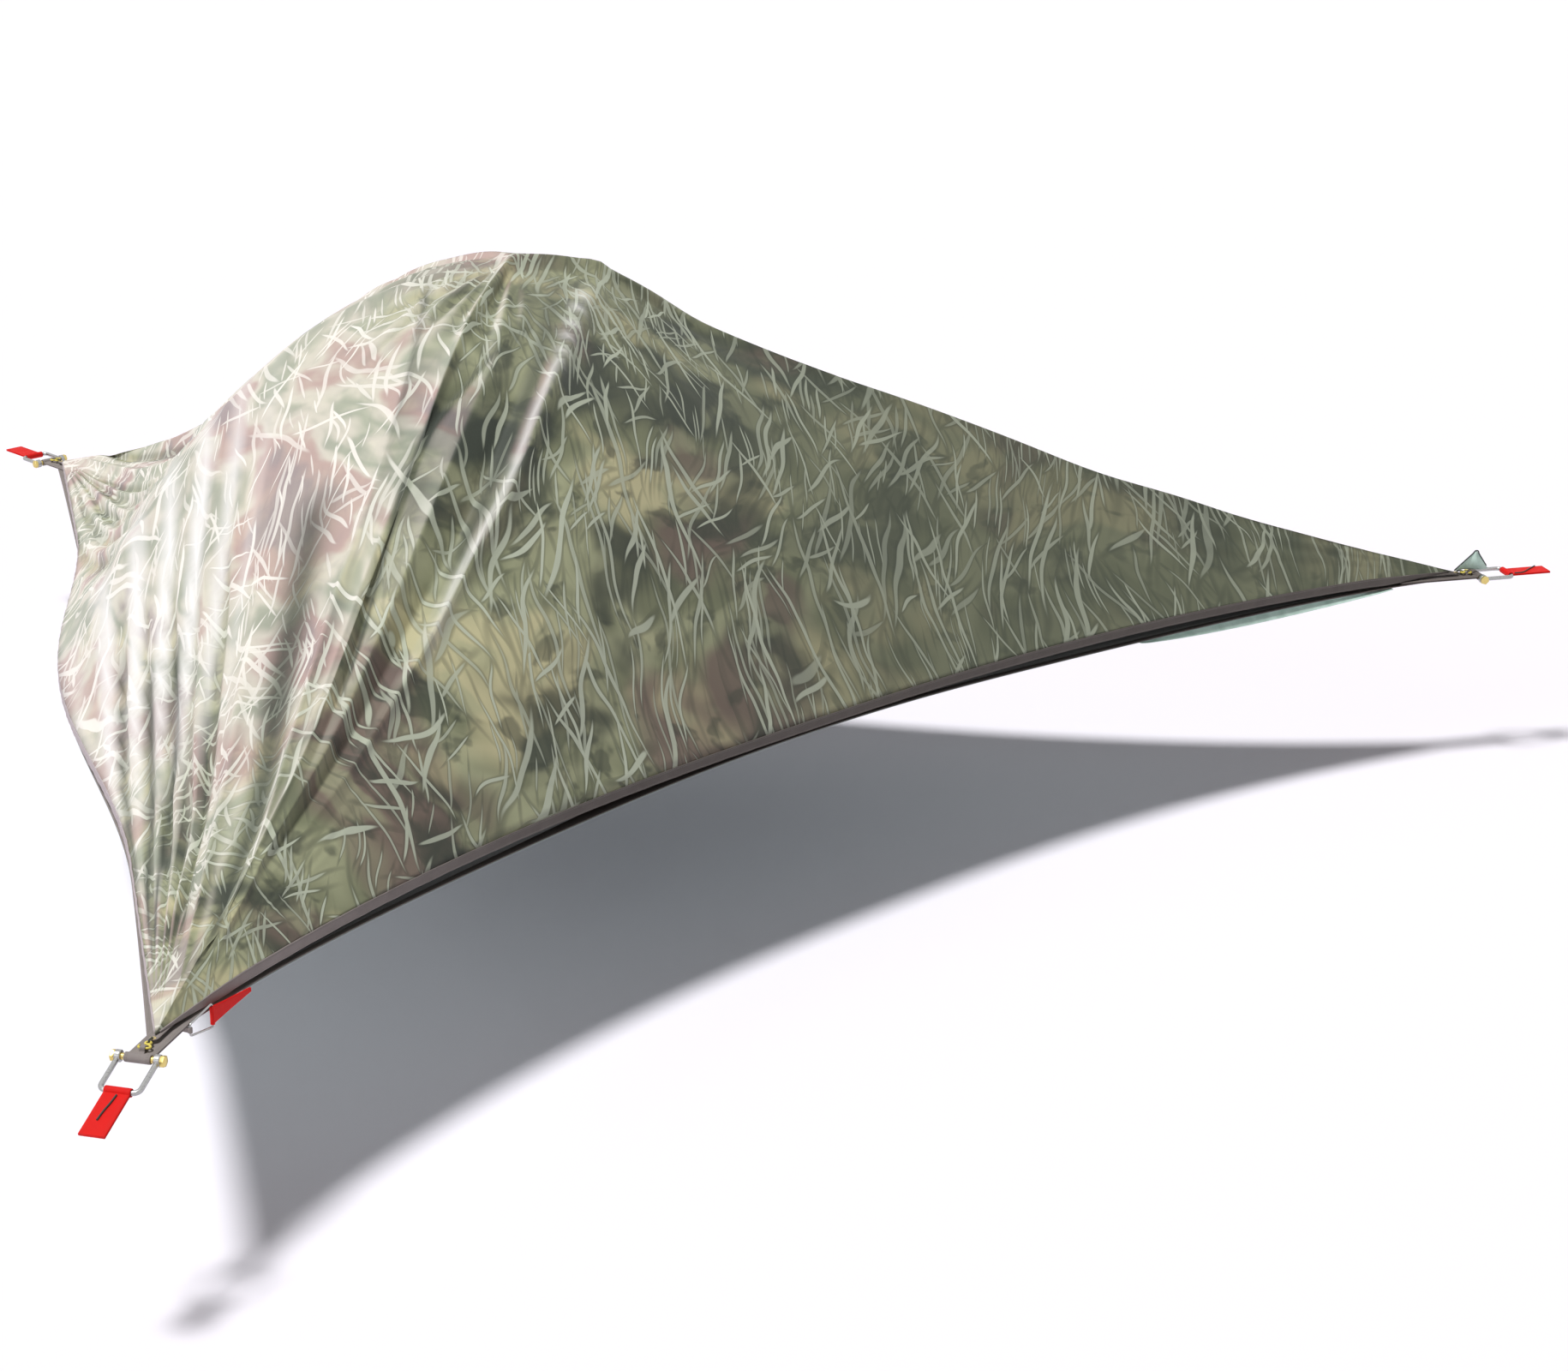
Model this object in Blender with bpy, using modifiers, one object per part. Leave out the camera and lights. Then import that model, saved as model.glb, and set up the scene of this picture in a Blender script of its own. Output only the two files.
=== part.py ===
# A three-anchor tree tent: a triangle of webbing and floor fabric hung between three trees,
# two crossed arch poles, a mesh inner canopy and a rain fly drawn down to the three corners.
# The X axis runs from the middle of the rear edge to corner B, +Z is up, sizes are in metres.

import math

import bmesh
import bpy
from mathutils import Matrix, Vector

# Plan of the tent
corner_span = 3.900            # corner to corner of the hung triangle
side_inset = 0.340             # how far the two long edges draw in at their middle
side_curve_power = 2.4         # how square the drawn-in edge is
rear_inset = 0.030             # how far the rear edge draws in by itself
rear_push = 0.095              # how far the rear pole foot pushes that edge out again
rear_push_reach_share = 0.30   # share of the rear edge on each side of the foot that moves
crown_offset = -0.130          # where the poles cross, along X from the centre

# Webbing, fabric and clearances
webbing_width = 0.050
webbing_thickness = 0.0025
floor_thickness = 0.0015
fly_thickness = 0.0020
mesh_thickness = 0.0010
gap = 0.0003                   # between pieces that touch
seat_gap = 0.0007              # under a stiff piece that stands on sloping webbing

# Floor
edge_dip = 0.016               # how far an edge strap dips between its corners and its middle
hatch_side = 0.800
hatch_drop = 0.045             # how far the floor has sunk at the hatch
hatch_frame_width = 0.045
flap_margin = 0.010            # how far the flap laps under the hatch frame
flap_thickness = 0.0020
strap_start = 0.117            # from the corner to the tip of the edge straps
bay_start = 0.270              # from the corner to the tip of a floor bay
seam_gap = 0.0008              # between two floor bays over a cross strap
cross_strap_stop = 0.300       # from the corner to the end of a cross strap
slider_length = 0.016
slider_width = 0.009
slider_height = 0.006
slider_tab_length = 0.022
slider_tab_thickness = 0.0016

# Poles
pole_radius = 0.0055
pole_rise = 0.899              # height of the upper pole's centre line at the crossing
pole_crossing_gap = 0.0010     # between the two poles where they cross
pole_foot_inset = 0.036        # from the floor's edge to a pole foot
front_span = 0.720             # from the crossing to the foot on strap B
section_gap = 0.0010           # between two sections of a bent pole
ferrule_length = 0.050
ferrule_swell_share = 1.22     # radius of the swaged end against the pole's radius
cup_wall = 0.0040
cup_depth = 0.0300
cup_floor = 0.0040
cup_clearance = 0.0004
hub_size = 0.028
hub_clearance = 0.0005

# Rain fly
fly_rise = 0.945               # height of the fly's crown
hem_height = 0.024             # height of the fly's lower edge
fly_tip_setback = 0.030        # from the corner to the fly's tip
hem_overhang = 0.004           # how far the fly's hem stands outside the floor's edge
hem_tape_height = 0.022
hem_tape_thickness = 0.0030
hem_tape_start = 0.240         # from the corner to the end of a hem tape
fly_standoff = 0.026           # from a pole's centre line up to the fly
pole_lift_share = 0.6          # how far toward a corner a pole lifts the cloth
fold_height = 0.020            # height of the largest folds that fan out of a corner
patch_rows = 8                 # steps from a ridge down to the hem
# Shares of the way from a pole's line to a corner at which cloth has a line of points
side_columns = (0.0, 0.045, 0.115, 0.2, 0.29, 0.39, 0.5, 0.62, 0.74, 0.87, 1.0)
front_columns = (0.0, 0.05, 0.10, 0.15, 0.195, 0.24, 0.28, 0.33, 0.43, 0.57, 0.72, 0.86, 1.0)

# Mesh canopy
canopy_rise = 0.917            # height of the canopy's crown
canopy_standoff = 0.013        # from a pole's centre line up to the canopy
canopy_slack_power = 1.30      # how far the canopy's ridges hang below the fly's
canopy_foot_inset = 0.010      # from the floor's edge to the canopy's lower edge
canopy_foot_gap = 0.0009       # between an edge strap and the canopy's lower edge
canopy_tip_setback = 0.280
door_columns = (3, 7)          # steps of the rear panel's grid that make the door
door_rows = (3, 7)
door_gap = 0.003

# Corner hardware, measured outward from the corner
pin_offset = 0.035
pin_radius = 0.0060
pin_clearance = 0.0005
pin_head_radius = 0.0110
pin_head_length = 0.0090
shackle_rod_radius = 0.0050
shackle_length = 0.082         # from the pin's centre line to the bow's
shackle_bend = 0.012
shackle_eye_radius = 0.0110
eye_end_clearance = 0.0006
corner_loop_tail = 0.180       # from the corner inward
anchor_strap_length = 0.108    # from the bow's centre line to the cut end
corner_droop = {"a": 18.0, "b": 0.0, "c": 0.0}   # degrees that the anchor strap hangs

# Fly corner fastening, measured outward from the corner
keeper_offset = 0.016
hook_rod_radius = 0.0020
keeper_hole_radius = hook_rod_radius + 0.0004
keeper_wall = 0.0020
keeper_width = 0.010
fastening_height = 0.0105      # height of the hook's rod above the corner loop's middle
hook_half_width = 0.0110
hook_tip_length = 0.010
hook_eye_offset = -0.004
hook_eye_radius = 0.0050
bungee_radius = 0.0015
bungee_half_height = 0.0040
tab_thickness = 0.0020
tab_width = 0.018
tab_hole_offset = -0.022
tab_hole_radius = 0.0040
tab_end_offset = -0.0155
tab_tail = 0.140

# Tensioning ring under corner A's webbing loop, measured along the front edge from the corner
ring_distance = 0.100
ring_tuck = 0.0110             # how far the ring's axis sits inside the loop's side
ring_rod_radius = 0.0020
ring_length = 0.068
ring_small_bar = 0.016
ring_large_bar = 0.044
ring_keeper_height = 0.010
ring_keeper_tail = 0.036
ring_tape_thickness = 0.0020
ring_tab_width = 0.036
ring_tab_length = 0.120

cut_overrun = 0.010
arc_steps = 14

corner_radius = corner_span / math.sqrt(3)
corner_angle = {"a": math.radians(-120), "b": 0.0, "c": math.radians(120)}
edges = {"front": ("a", "b"), "back": ("b", "c"), "rear": ("c", "a")}
strap_level = -(webbing_thickness + gap + webbing_thickness / 2)
crown = Vector((crown_offset, 0.0, 0.0))

for old in list(bpy.data.objects):
    bpy.data.objects.remove(old, do_unlink=True)

parts = bpy.data.collections.new("tree_tent")
cutters = bpy.data.collections.new("cutters")
bpy.context.scene.collection.children.link(parts)
bpy.context.scene.collection.children.link(cutters)


def make_material(name, color, roughness, metallic=0.0):
    material = bpy.data.materials.new(name)
    material.use_nodes = True
    shader = material.node_tree.nodes["Principled BSDF"]
    shader.inputs["Base Color"].default_value = (*color, 1.0)
    shader.inputs["Roughness"].default_value = roughness
    shader.inputs["Metallic"].default_value = metallic
    return material


fly_fabric = make_material("fly_fabric", (0.33, 0.35, 0.24), 0.6)
hem_webbing = make_material("hem_webbing", (0.15, 0.13, 0.11), 0.8)
load_webbing = make_material("load_webbing", (0.17, 0.15, 0.13), 0.8)
red_webbing = make_material("red_webbing", (0.75, 0.03, 0.02), 0.6)
floor_fabric = make_material("floor_fabric", (0.38, 0.44, 0.42), 0.65)
hatch_fabric = make_material("hatch_fabric", (0.30, 0.36, 0.34), 0.65)
mesh_fabric = make_material("mesh_fabric", (0.10, 0.11, 0.10), 0.9)
pole_metal = make_material("pole_metal", (0.55, 0.57, 0.58), 0.35, 1.0)
steel = make_material("steel", (0.62, 0.62, 0.60), 0.25, 1.0)
brass = make_material("brass", (0.75, 0.60, 0.20), 0.35, 1.0)
yellow_plastic = make_material("yellow_plastic", (0.80, 0.68, 0.12), 0.45)
black_plastic = make_material("black_plastic", (0.04, 0.04, 0.04), 0.5)
dark_cord = make_material("dark_cord", (0.06, 0.07, 0.06), 0.8)


def add_object(name, data, material, collection=parts):
    obj = bpy.data.objects.new(name, data)
    collection.objects.link(obj)
    data.materials.clear()
    data.materials.append(material)
    return obj


def mesh_object(name, points, faces, material, collection=parts):
    mesh = bpy.data.meshes.new(name)
    mesh.from_pydata([tuple(point) for point in points], [], faces)
    mesh.validate()
    return add_object(name, mesh, material, collection)


def smooth(obj, angle=40):
    obj.data.shade_smooth()
    obj.data.set_sharp_from_angle(angle=math.radians(angle))
    return obj


def solidify(obj, thickness, offset):
    shell = obj.modifiers.new("thickness", "SOLIDIFY")
    shell.thickness = thickness
    shell.offset = offset
    return obj


def grid_sheet(name, rows, thickness, offset, material):
    # rows is a list of equally long lists of points; neighbours make four-sided faces
    width = len(rows[0])
    points = [point for row in rows for point in row]
    faces = []
    for i in range(len(rows) - 1):
        for j in range(width - 1):
            low = i * width + j
            faces.append((low, low + 1, low + width + 1, low + width))
    sheet = mesh_object(name, points, faces, material)
    return smooth(solidify(sheet, thickness, offset))


def rod(name, points, radius, material, cyclic=False, swells=None, collection=parts):
    # a round bar along a list of points; swells scale the radius at each point
    curve = bpy.data.curves.new(name, "CURVE")
    curve.dimensions = "3D"
    curve.bevel_depth = radius
    curve.bevel_resolution = 2
    curve.use_fill_caps = not cyclic
    spline = curve.splines.new("POLY")
    spline.points.add(len(points) - 1)
    for index, point in enumerate(points):
        spline.points[index].co = (*point, 1.0)
        spline.points[index].radius = swells[index] if swells else 1.0
    spline.use_cyclic_u = cyclic
    return add_object(name, curve, material, collection)


def outline_plate(name, loops, depth, material, collection=parts):
    # a flat closed outline, with holes as further loops, made depth thick about its plane
    curve = bpy.data.curves.new(name, "CURVE")
    curve.dimensions = "2D"
    curve.fill_mode = "BOTH"
    curve.extrude = depth / 2
    for loop in loops:
        spline = curve.splines.new("POLY")
        spline.points.add(len(loop) - 1)
        for index, (x, y) in enumerate(loop):
            spline.points[index].co = (x, y, 0.0, 1.0)
        spline.use_cyclic_u = True
    return add_object(name, curve, material, collection)


def as_mesh(obj):
    # a curve made into a mesh object of the same name and place, with its caps welded
    bpy.context.view_layer.update()
    name = obj.name
    graph = bpy.context.evaluated_depsgraph_get()
    mesh = bpy.data.meshes.new_from_object(obj.evaluated_get(graph))
    welded = bmesh.new()
    welded.from_mesh(mesh)
    bmesh.ops.remove_doubles(welded, verts=welded.verts, dist=gap / 10)
    bmesh.ops.recalc_face_normals(welded, faces=welded.faces)
    welded.to_mesh(mesh)
    welded.free()
    solid = bpy.data.objects.new(name + "_mesh", mesh)
    for collection in obj.users_collection:
        collection.objects.link(solid)
    solid.matrix_world = obj.matrix_world.copy()
    bpy.data.objects.remove(obj, do_unlink=True)
    solid.name = name
    return solid


def combine(target, tool, operation):
    # joins or cuts target by tool, which is kept as a hidden guide
    cut = target.modifiers.new(operation.lower(), "BOOLEAN")
    cut.operation = operation
    cut.object = tool
    cut.solver = "EXACT"
    for collection in list(tool.users_collection):
        collection.objects.unlink(tool)
    cutters.objects.link(tool)
    tool.hide_render = True
    tool.display_type = "WIRE"
    return target


def cylinder(name, radius, depth, material, sides=24):
    mesh = bpy.data.meshes.new(name)
    shape = bmesh.new()
    bmesh.ops.create_cone(
        shape, cap_ends=True, segments=sides, radius1=radius, radius2=radius, depth=depth)
    shape.to_mesh(mesh)
    shape.free()
    return add_object(name, mesh, material)


def box(name, size, material):
    mesh = bpy.data.meshes.new(name)
    shape = bmesh.new()
    bmesh.ops.create_cube(shape, size=1.0, matrix=Matrix.Diagonal((*size, 1.0)))
    shape.to_mesh(mesh)
    shape.free()
    return add_object(name, mesh, material)


def arc(centre, radius, start, end, steps=arc_steps):
    return [
        (centre[0] + radius * math.cos(start + (end - start) * i / steps),
         centre[1] + radius * math.sin(start + (end - start) * i / steps))
        for i in range(steps + 1)]


def circle(centre, radius, steps=20):
    return arc(centre, radius, 0.0, 2 * math.pi, steps)[:-1]


def copy_of(obj, name):
    # a second object on the same mesh, with the same modifiers
    twin = obj.copy()
    twin.name = name
    parts.objects.link(twin)
    return twin


def frame_at(name, location, angle=0.0, tilt=0.0, parent=None):
    # an empty whose X axis points along angle in plan and is tilted down by tilt
    empty = bpy.data.objects.new(name, None)
    parts.objects.link(empty)
    empty.rotation_euler = (0.0, tilt, angle)
    empty.location = location
    empty.parent = parent
    return empty


# Plan curves

def direction(angle):
    return Vector((math.cos(angle), math.sin(angle), 0.0))


def edge_point(edge, share, radius=corner_radius, shift=0.0):
    # a point of an edge: the chord between two corners, drawn in by the edge's own curve
    start, end = (direction(corner_angle[key]) * radius for key in edges[edge])
    inward = -(start + end).normalized()
    square_curve = 1.0 - abs(2 * share - 1) ** side_curve_power
    if edge == "rear":
        reach = min(1.0, abs(share - 0.5) / rear_push_reach_share)
        inset = rear_inset * 4 * share * (1 - share)
        inset -= rear_push * math.cos(math.pi / 2 * reach) ** 2
    else:
        inset = side_inset * square_curve
    return start.lerp(end, share) + inward * (inset - shift * square_curve)


def edge_normal(edge, share):
    # the outward normal of an edge in plan
    step = 1e-3
    along = edge_point(edge, min(1.0, share + step)) - edge_point(edge, max(0.0, share - step))
    return Vector((along.y, -along.x, 0.0)).normalized()


def edge_level(share):
    # how an edge strap's middle line rises and dips from corner to corner
    return strap_level - edge_dip * math.sin(2 * math.pi * share) ** 2


def keep_side(point, edge, share, clearance):
    # moves a point to its own side of the nearer corner's centre line, clear of that line
    key = edges[edge][0] if share < 0.5 else edges[edge][1]
    along = direction(corner_angle[key])
    across = Vector((-along.y, along.x, 0.0))
    side = 1.0 if share < 0.5 else -1.0
    offset = point.dot(across) * side
    if offset < clearance:
        point = point + across * side * (clearance - offset)
    return point


def foot_share(edge, x):
    # the share of the front or back edge at which it passes a given x
    low, high = 0.0, 1.0
    for _ in range(40):
        middle = (low + high) / 2
        rising = edge == "front"
        if (edge_point(edge, middle).x < x) == rising:
            low = middle
        else:
            high = middle
    return (low + high) / 2


front_foot_share = foot_share("front", crown_offset)

# Shares along an edge at which straps and floor bays have a row of points
inner_rows = (0.10, 0.145, 0.19, 0.24, 0.29, 0.35, 0.41, 0.455)


def edge_rows(*first_distances):
    firsts = [distance / corner_span for distance in first_distances]
    rising = firsts + [share for share in inner_rows if share > firsts[-1] + 0.01]
    return rising + [0.5] + [1 - share for share in reversed(rising)]


def strap_inner_point(edge, share):
    inner = edge_point(edge, share) - edge_normal(edge, share) * webbing_width
    return keep_side(inner, edge, share, gap)


# Floor: edge straps, three bays, cross straps and the hatch

def make_edge_strap(edge):
    rows = []
    for share in edge_rows(strap_start, bay_start):
        level = Vector((0.0, 0.0, edge_level(share)))
        rows.append((edge_point(edge, share) + level, strap_inner_point(edge, share) + level))
    return grid_sheet(edge + "_edge_strap", rows, webbing_thickness, 0.0, load_webbing)


hatch_radius = hatch_side / math.sqrt(3)
hatch_share = 0.41             # share of an edge that faces one cross strap
seam_length = corner_radius - hatch_radius


def seam_level(radius):
    # height of the floor's top along a seam, from the hatch out to the corner
    level_at_corner = strap_level - webbing_thickness / 2 - gap
    return level_at_corner - (hatch_drop + level_at_corner) * (corner_radius - radius) / seam_length


def seam_point(edge, share):
    # the inner side of a floor bay: out along one seam, across the hatch, back along the other
    keys = edges[edge]
    nearer = 0 if share < 0.5 else 1
    from_end = share if share < 0.5 else 1 - share
    along = direction(corner_angle[keys[nearer]])
    across = Vector((-along.y, along.x, 0.0)) * (1.0 if nearer == 0 else -1.0)
    if from_end <= hatch_share:
        radius = corner_radius - seam_length * from_end / hatch_share
        point = along * radius + across * seam_gap / 2
        point.z = seam_level(radius)
        return point
    ends = [direction(corner_angle[key]) * hatch_radius for key in keys]
    point = ends[0].lerp(ends[1], (share - hatch_share) / (1 - 2 * hatch_share))
    point.z = seam_level(hatch_radius)
    return point


def make_floor_bay(edge):
    steps = 3
    rows = []
    for share in edge_rows(bay_start):
        level = Vector((0.0, 0.0, edge_level(share) - webbing_thickness / 2 - gap))
        under_strap = strap_inner_point(edge, share) + level
        inner = seam_point(edge, share)
        row = [edge_point(edge, share) + level]
        rows.append(row + [under_strap.lerp(inner, step / steps) for step in range(steps + 1)])
    return grid_sheet(edge + "_floor_bay", rows, floor_thickness, 1.0, floor_fabric)


def make_cross_strap(key):
    along = direction(corner_angle[key])
    across = Vector((-along.y, along.x, 0.0)) * webbing_width / 2
    drop = floor_thickness + gap + webbing_thickness / 2
    frame_reach = hatch_radius + 2 * hatch_frame_width
    rows = []
    for radius in (frame_reach + gap, corner_radius - cross_strap_stop):
        middle = along * radius
        middle.z = seam_level(radius) - drop
        rows.append((middle - across, middle + across))
    return grid_sheet("cross_strap_" + key, rows, webbing_thickness, 0.0, load_webbing)


frame_level = seam_level(hatch_radius) - floor_thickness - gap - webbing_thickness / 2
flap_level = frame_level - webbing_thickness / 2 - gap - flap_thickness / 2
flap_radius = hatch_radius + 2 * flap_margin
hinge_x = -flap_radius / 2


def triangle(radius):
    return [
        (radius * math.cos(corner_angle[key]), radius * math.sin(corner_angle[key]))
        for key in ("a", "b", "c")]


def make_hatch():
    frame = outline_plate(
        "hatch_frame", [triangle(hatch_radius + 2 * hatch_frame_width), triangle(hatch_radius)],
        webbing_thickness, load_webbing)
    frame.location.z = frame_level
    flap = outline_plate("hatch_flap", [
        [(x - hinge_x, y) for x, y in triangle(flap_radius)]], flap_thickness, hatch_fabric)
    flap.location = (hinge_x, 0.0, flap_level)


def slider_track(side):
    # a zip track runs under the hatch frame just outside the flap, from corner B to the hinge
    clear = (hatch_frame_width - flap_margin) / 2 + flap_margin
    start = direction(corner_angle["b"]) * (hatch_radius + 2 * clear)
    end = direction(corner_angle["a" if side == "front" else "c"]) * (hatch_radius + 2 * clear)
    along = (end - start).normalized()
    return start + along * (2 * slider_length + 2 * slider_tab_length), along


def make_hatch_slider(side):
    place, along = slider_track(side)
    level = frame_level - webbing_thickness / 2 - gap - slider_height / 2
    body = box("hatch_slider_" + side, (slider_length, slider_width, slider_height), brass)
    round_off = body.modifiers.new("round_off", "BEVEL")
    round_off.width = slider_height / 5
    round_off.segments = 2
    pull = box("hatch_slider_pull_guide", (slider_tab_length, slider_width / 2, slider_tab_thickness), brass)
    pull.parent = body
    pull.location = ((slider_length + slider_tab_length) / 2 - slider_length / 4, 0.0, 0.0)
    body.location = (place.x, place.y, level)
    body.rotation_euler.z = math.atan2(along.y, along.x)
    combine(body, pull, "UNION")


# Poles: a springy rod bent between two feet, whose curvature grows with its height

def bent_half(span, rise, steps=700):
    # (distance from the crossing, height) from foot to crossing of a rod bent by its feet
    def integrate(start_angle):
        step = 0.004
        x = z = 0.0
        angle = start_angle
        points = [(0.0, 0.0)]
        while angle > 0.0 and len(points) < 4 * steps:
            angle -= z * step
            x += math.cos(angle) * step
            z += math.sin(angle) * step
            points.append((x, z))
        return points
    low, high = math.radians(20), math.radians(150)
    for _ in range(40):
        middle = (low + high) / 2
        shape = integrate(middle)
        if shape[-1][1] / shape[-1][0] < rise / span:
            low = middle
        else:
            high = middle
    scale_x = span / shape[-1][0]
    scale_z = rise / shape[-1][1]
    return [(span - x * scale_x, z * scale_z) for x, z in shape]


def height_along(half, distance):
    # height of a bent half at a distance from the crossing
    for (far, low), (near, high) in zip(half, half[1:]):
        if near <= distance <= far:
            share = (far - distance) / max(far - near, 1e-9)
            return low + (high - low) * share
    return half[-1][1] if distance < half[-1][0] else 0.0


def evenly(points, count):
    # count + 1 points at even steps along a line of points
    lengths = [0.0]
    for first, second in zip(points, points[1:]):
        lengths.append(lengths[-1] + (second - first).length)
    picked = []
    index = 0
    for step in range(count + 1):
        target = lengths[-1] * step / count
        while index < len(lengths) - 2 and lengths[index + 1] < target:
            index += 1
        part = (target - lengths[index]) / (lengths[index + 1] - lengths[index])
        picked.append(points[index].lerp(points[index + 1], part))
    return picked


low_pole_rise = pole_rise - 2 * pole_radius - pole_crossing_gap
side_foot = edge_point("front", front_foot_share)
side_span = abs(side_foot.y) - pole_foot_inset / abs(edge_normal("front", front_foot_share).y)
rear_span = abs(edge_point("rear", 0.5).x - crown_offset) - pole_foot_inset
strap_top = webbing_thickness / 2


cup_radius = pole_radius + cup_clearance + cup_wall


def seated_half(span, rise, ground):
    # a bent half and the height of its foot, in a cup that leans with it on the ground
    foot = ground
    for _ in range(3):
        half = bent_half(span, rise - foot)
        (near, low), (far, high) = half[0], half[len(half) // 10]
        length = math.hypot(near - far, high - low)
        lean, stand = (near - far) / length, (high - low) / length
        foot = ground + seat_gap + cup_radius * lean + (cup_floor + cup_clearance) * stand
    return half, foot


pole_halves = {
    "side": seated_half(side_span, low_pole_rise, edge_level(front_foot_share) + strap_top),
    "rear": seated_half(rear_span, pole_rise, edge_level(0.5) + strap_top),
    "front": seated_half(front_span, pole_rise, seam_level(crown_offset + front_span))}


def half_line(pole, angle):
    # a bent half as points, foot first, standing out from the crossing along angle
    half, foot = pole_halves[pole]
    return [crown + direction(angle) * distance + Vector((0.0, 0.0, foot + height))
            for distance, height in half]


def make_pole(name, line, shares):
    # sections run between the given shares of the pole's length; each one's end is swaged
    count = 72
    line = evenly(line, count)
    for number, (start, end) in enumerate(zip(shares, shares[1:])):
        first, last = round(start * count), round(end * count)
        points = line[first:last + 1]
        if first > 0:
            points[0] = points[0] + (points[1] - points[0]).normalized() * section_gap
        swells = [1.0] * len(points)
        if last < count:
            before = points[-1] - (points[-1] - points[-2]).normalized() * ferrule_length / 2
            points = points[:-1] + [before, before.lerp(points[-1], 0.1), points[-1]]
            swells = [1.0] * (len(points) - 2) + [ferrule_swell_share] * 2
        rod(f"{name}_section_{number + 1}", points, pole_radius, pole_metal, swells=swells)


def make_foot_cup(name, line):
    # a cup that the pole's end stands in, turned to the pole's last stretch
    end, before = line[0], line[len(line) // 10]
    lean = (before - end).normalized()
    outer = cylinder(name, cup_radius, cup_depth + cup_floor, black_plastic)
    bore = cylinder(name + "_bore", pole_radius + cup_clearance, cup_depth + cut_overrun, black_plastic)
    turn = lean.to_track_quat("Z", "Y")
    base = end - lean * (cup_floor + cup_clearance)
    for piece, distance in ((outer, (cup_depth + cup_floor) / 2),
                            (bore, cup_floor + (cup_depth + cut_overrun) / 2)):
        piece.rotation_mode = "QUATERNION"
        piece.rotation_quaternion = turn
        piece.location = base + lean * distance
    combine(outer, bore, "DIFFERENCE")


def make_poles():
    rear_line = half_line("rear", math.pi)
    front_line = half_line("front", 0.0)
    near_line = half_line("side", -math.pi / 2)
    far_line = half_line("side", math.pi / 2)
    make_pole("long_pole", rear_line + front_line[::-1][1:], (0.0, 0.25, 0.5 + 0.125, 1.0))
    make_pole("cross_pole", near_line + far_line[::-1][1:], (0.0, 0.25, 0.75, 1.0))
    make_foot_cup("pole_cup_rear", rear_line)
    make_foot_cup("pole_cup_front", front_line)
    make_foot_cup("pole_cup_near", near_line)
    make_foot_cup("pole_cup_far", far_line)


def make_crossing_hub():
    hub = box("pole_crossing_hub", (hub_size, hub_size, hub_size), black_plastic)
    round_off = hub.modifiers.new("round_off", "BEVEL")
    round_off.width = hub_size / 8
    round_off.segments = 2
    middle = (pole_rise + low_pole_rise) / 2
    hub.location = (crown_offset, 0.0, middle)
    for name, height, turn in (("long", pole_rise, (0.0, math.pi / 2, 0.0)),
                               ("cross", low_pole_rise, (math.pi / 2, 0.0, 0.0))):
        bore = cylinder("hub_bore_" + name, pole_radius + hub_clearance, hub_size + cut_overrun, black_plastic)
        bore.location = (crown_offset, 0.0, height)
        bore.rotation_euler = turn
        combine(hub, bore, "DIFFERENCE")


# Fly and canopy: taut cloth from three ridges down to the hem, lifted by the poles

# Height of a ridge as a share of the crown's, at shares of the way from crown to corner
side_ridge_shares = (
    (0.0, 1.0), (0.05, 0.985), (0.10, 0.957), (0.16, 0.912), (0.22, 0.845), (0.30, 0.735),
    (0.38, 0.622), (0.46, 0.512), (0.55, 0.388), (0.65, 0.263), (0.76, 0.165), (0.88, 0.080),
    (1.0, 0.0))
front_ridge_shares = (
    (0.0, 1.0), (0.05, 0.982), (0.10, 0.932), (0.16, 0.835), (0.22, 0.757), (0.30, 0.671),
    (0.38, 0.581), (0.46, 0.498), (0.55, 0.396), (0.65, 0.296), (0.76, 0.195), (0.88, 0.094),
    (1.0, 0.0))


def table_value(table, share):
    for (left, low), (right, high) in zip(table, table[1:]):
        if share <= right:
            return low + (high - low) * (share - left) / (right - left)
    return table[-1][1]


# Folds that fan out of corner A, and mirrored out of corner C: the half width in degrees, then
# (share of the way to the crown, plan angle from the line to the crown, share of fold_height)
fold_shares = (
    (1.0, ((0.15, -3.0, 0.0), (0.30, -4.6, 0.15), (0.40, -5.6, 0.45), (0.57, -6.8, 0.90),
           (0.69, -7.6, 1.0), (0.78, -7.2, 1.0), (0.87, -6.4, 0.90), (1.0, -4.8, 0.55),
           (1.06, -4.0, 0.0))),
    (1.35, ((0.03, -2.0, 0.0), (0.10, -2.2, 0.30), (0.20, -2.6, 0.60), (0.40, -2.6, 0.80),
            (0.60, -2.9, 0.70), (0.75, -3.2, 0.50), (0.88, -3.0, 0.30), (0.97, -2.6, 0.0))),
    (1.5, ((0.03, 1.5, 0.0), (0.12, 2.0, 0.40), (0.30, 2.4, 0.70), (0.50, 2.6, 0.70),
           (0.70, 2.8, 0.50), (0.85, 3.0, 0.25), (0.97, 3.0, 0.0))),
    (1.8, ((0.03, 5.5, 0.0), (0.12, 6.5, 0.40), (0.30, 7.5, 0.60), (0.50, 8.0, 0.60),
           (0.70, 8.0, 0.40), (0.90, 8.0, 0.0))),
    (2.0, ((0.03, 12.0, 0.0), (0.15, 13.0, 0.40), (0.35, 14.0, 0.50), (0.60, 14.0, 0.40),
           (0.85, 14.0, 0.0))))


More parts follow.
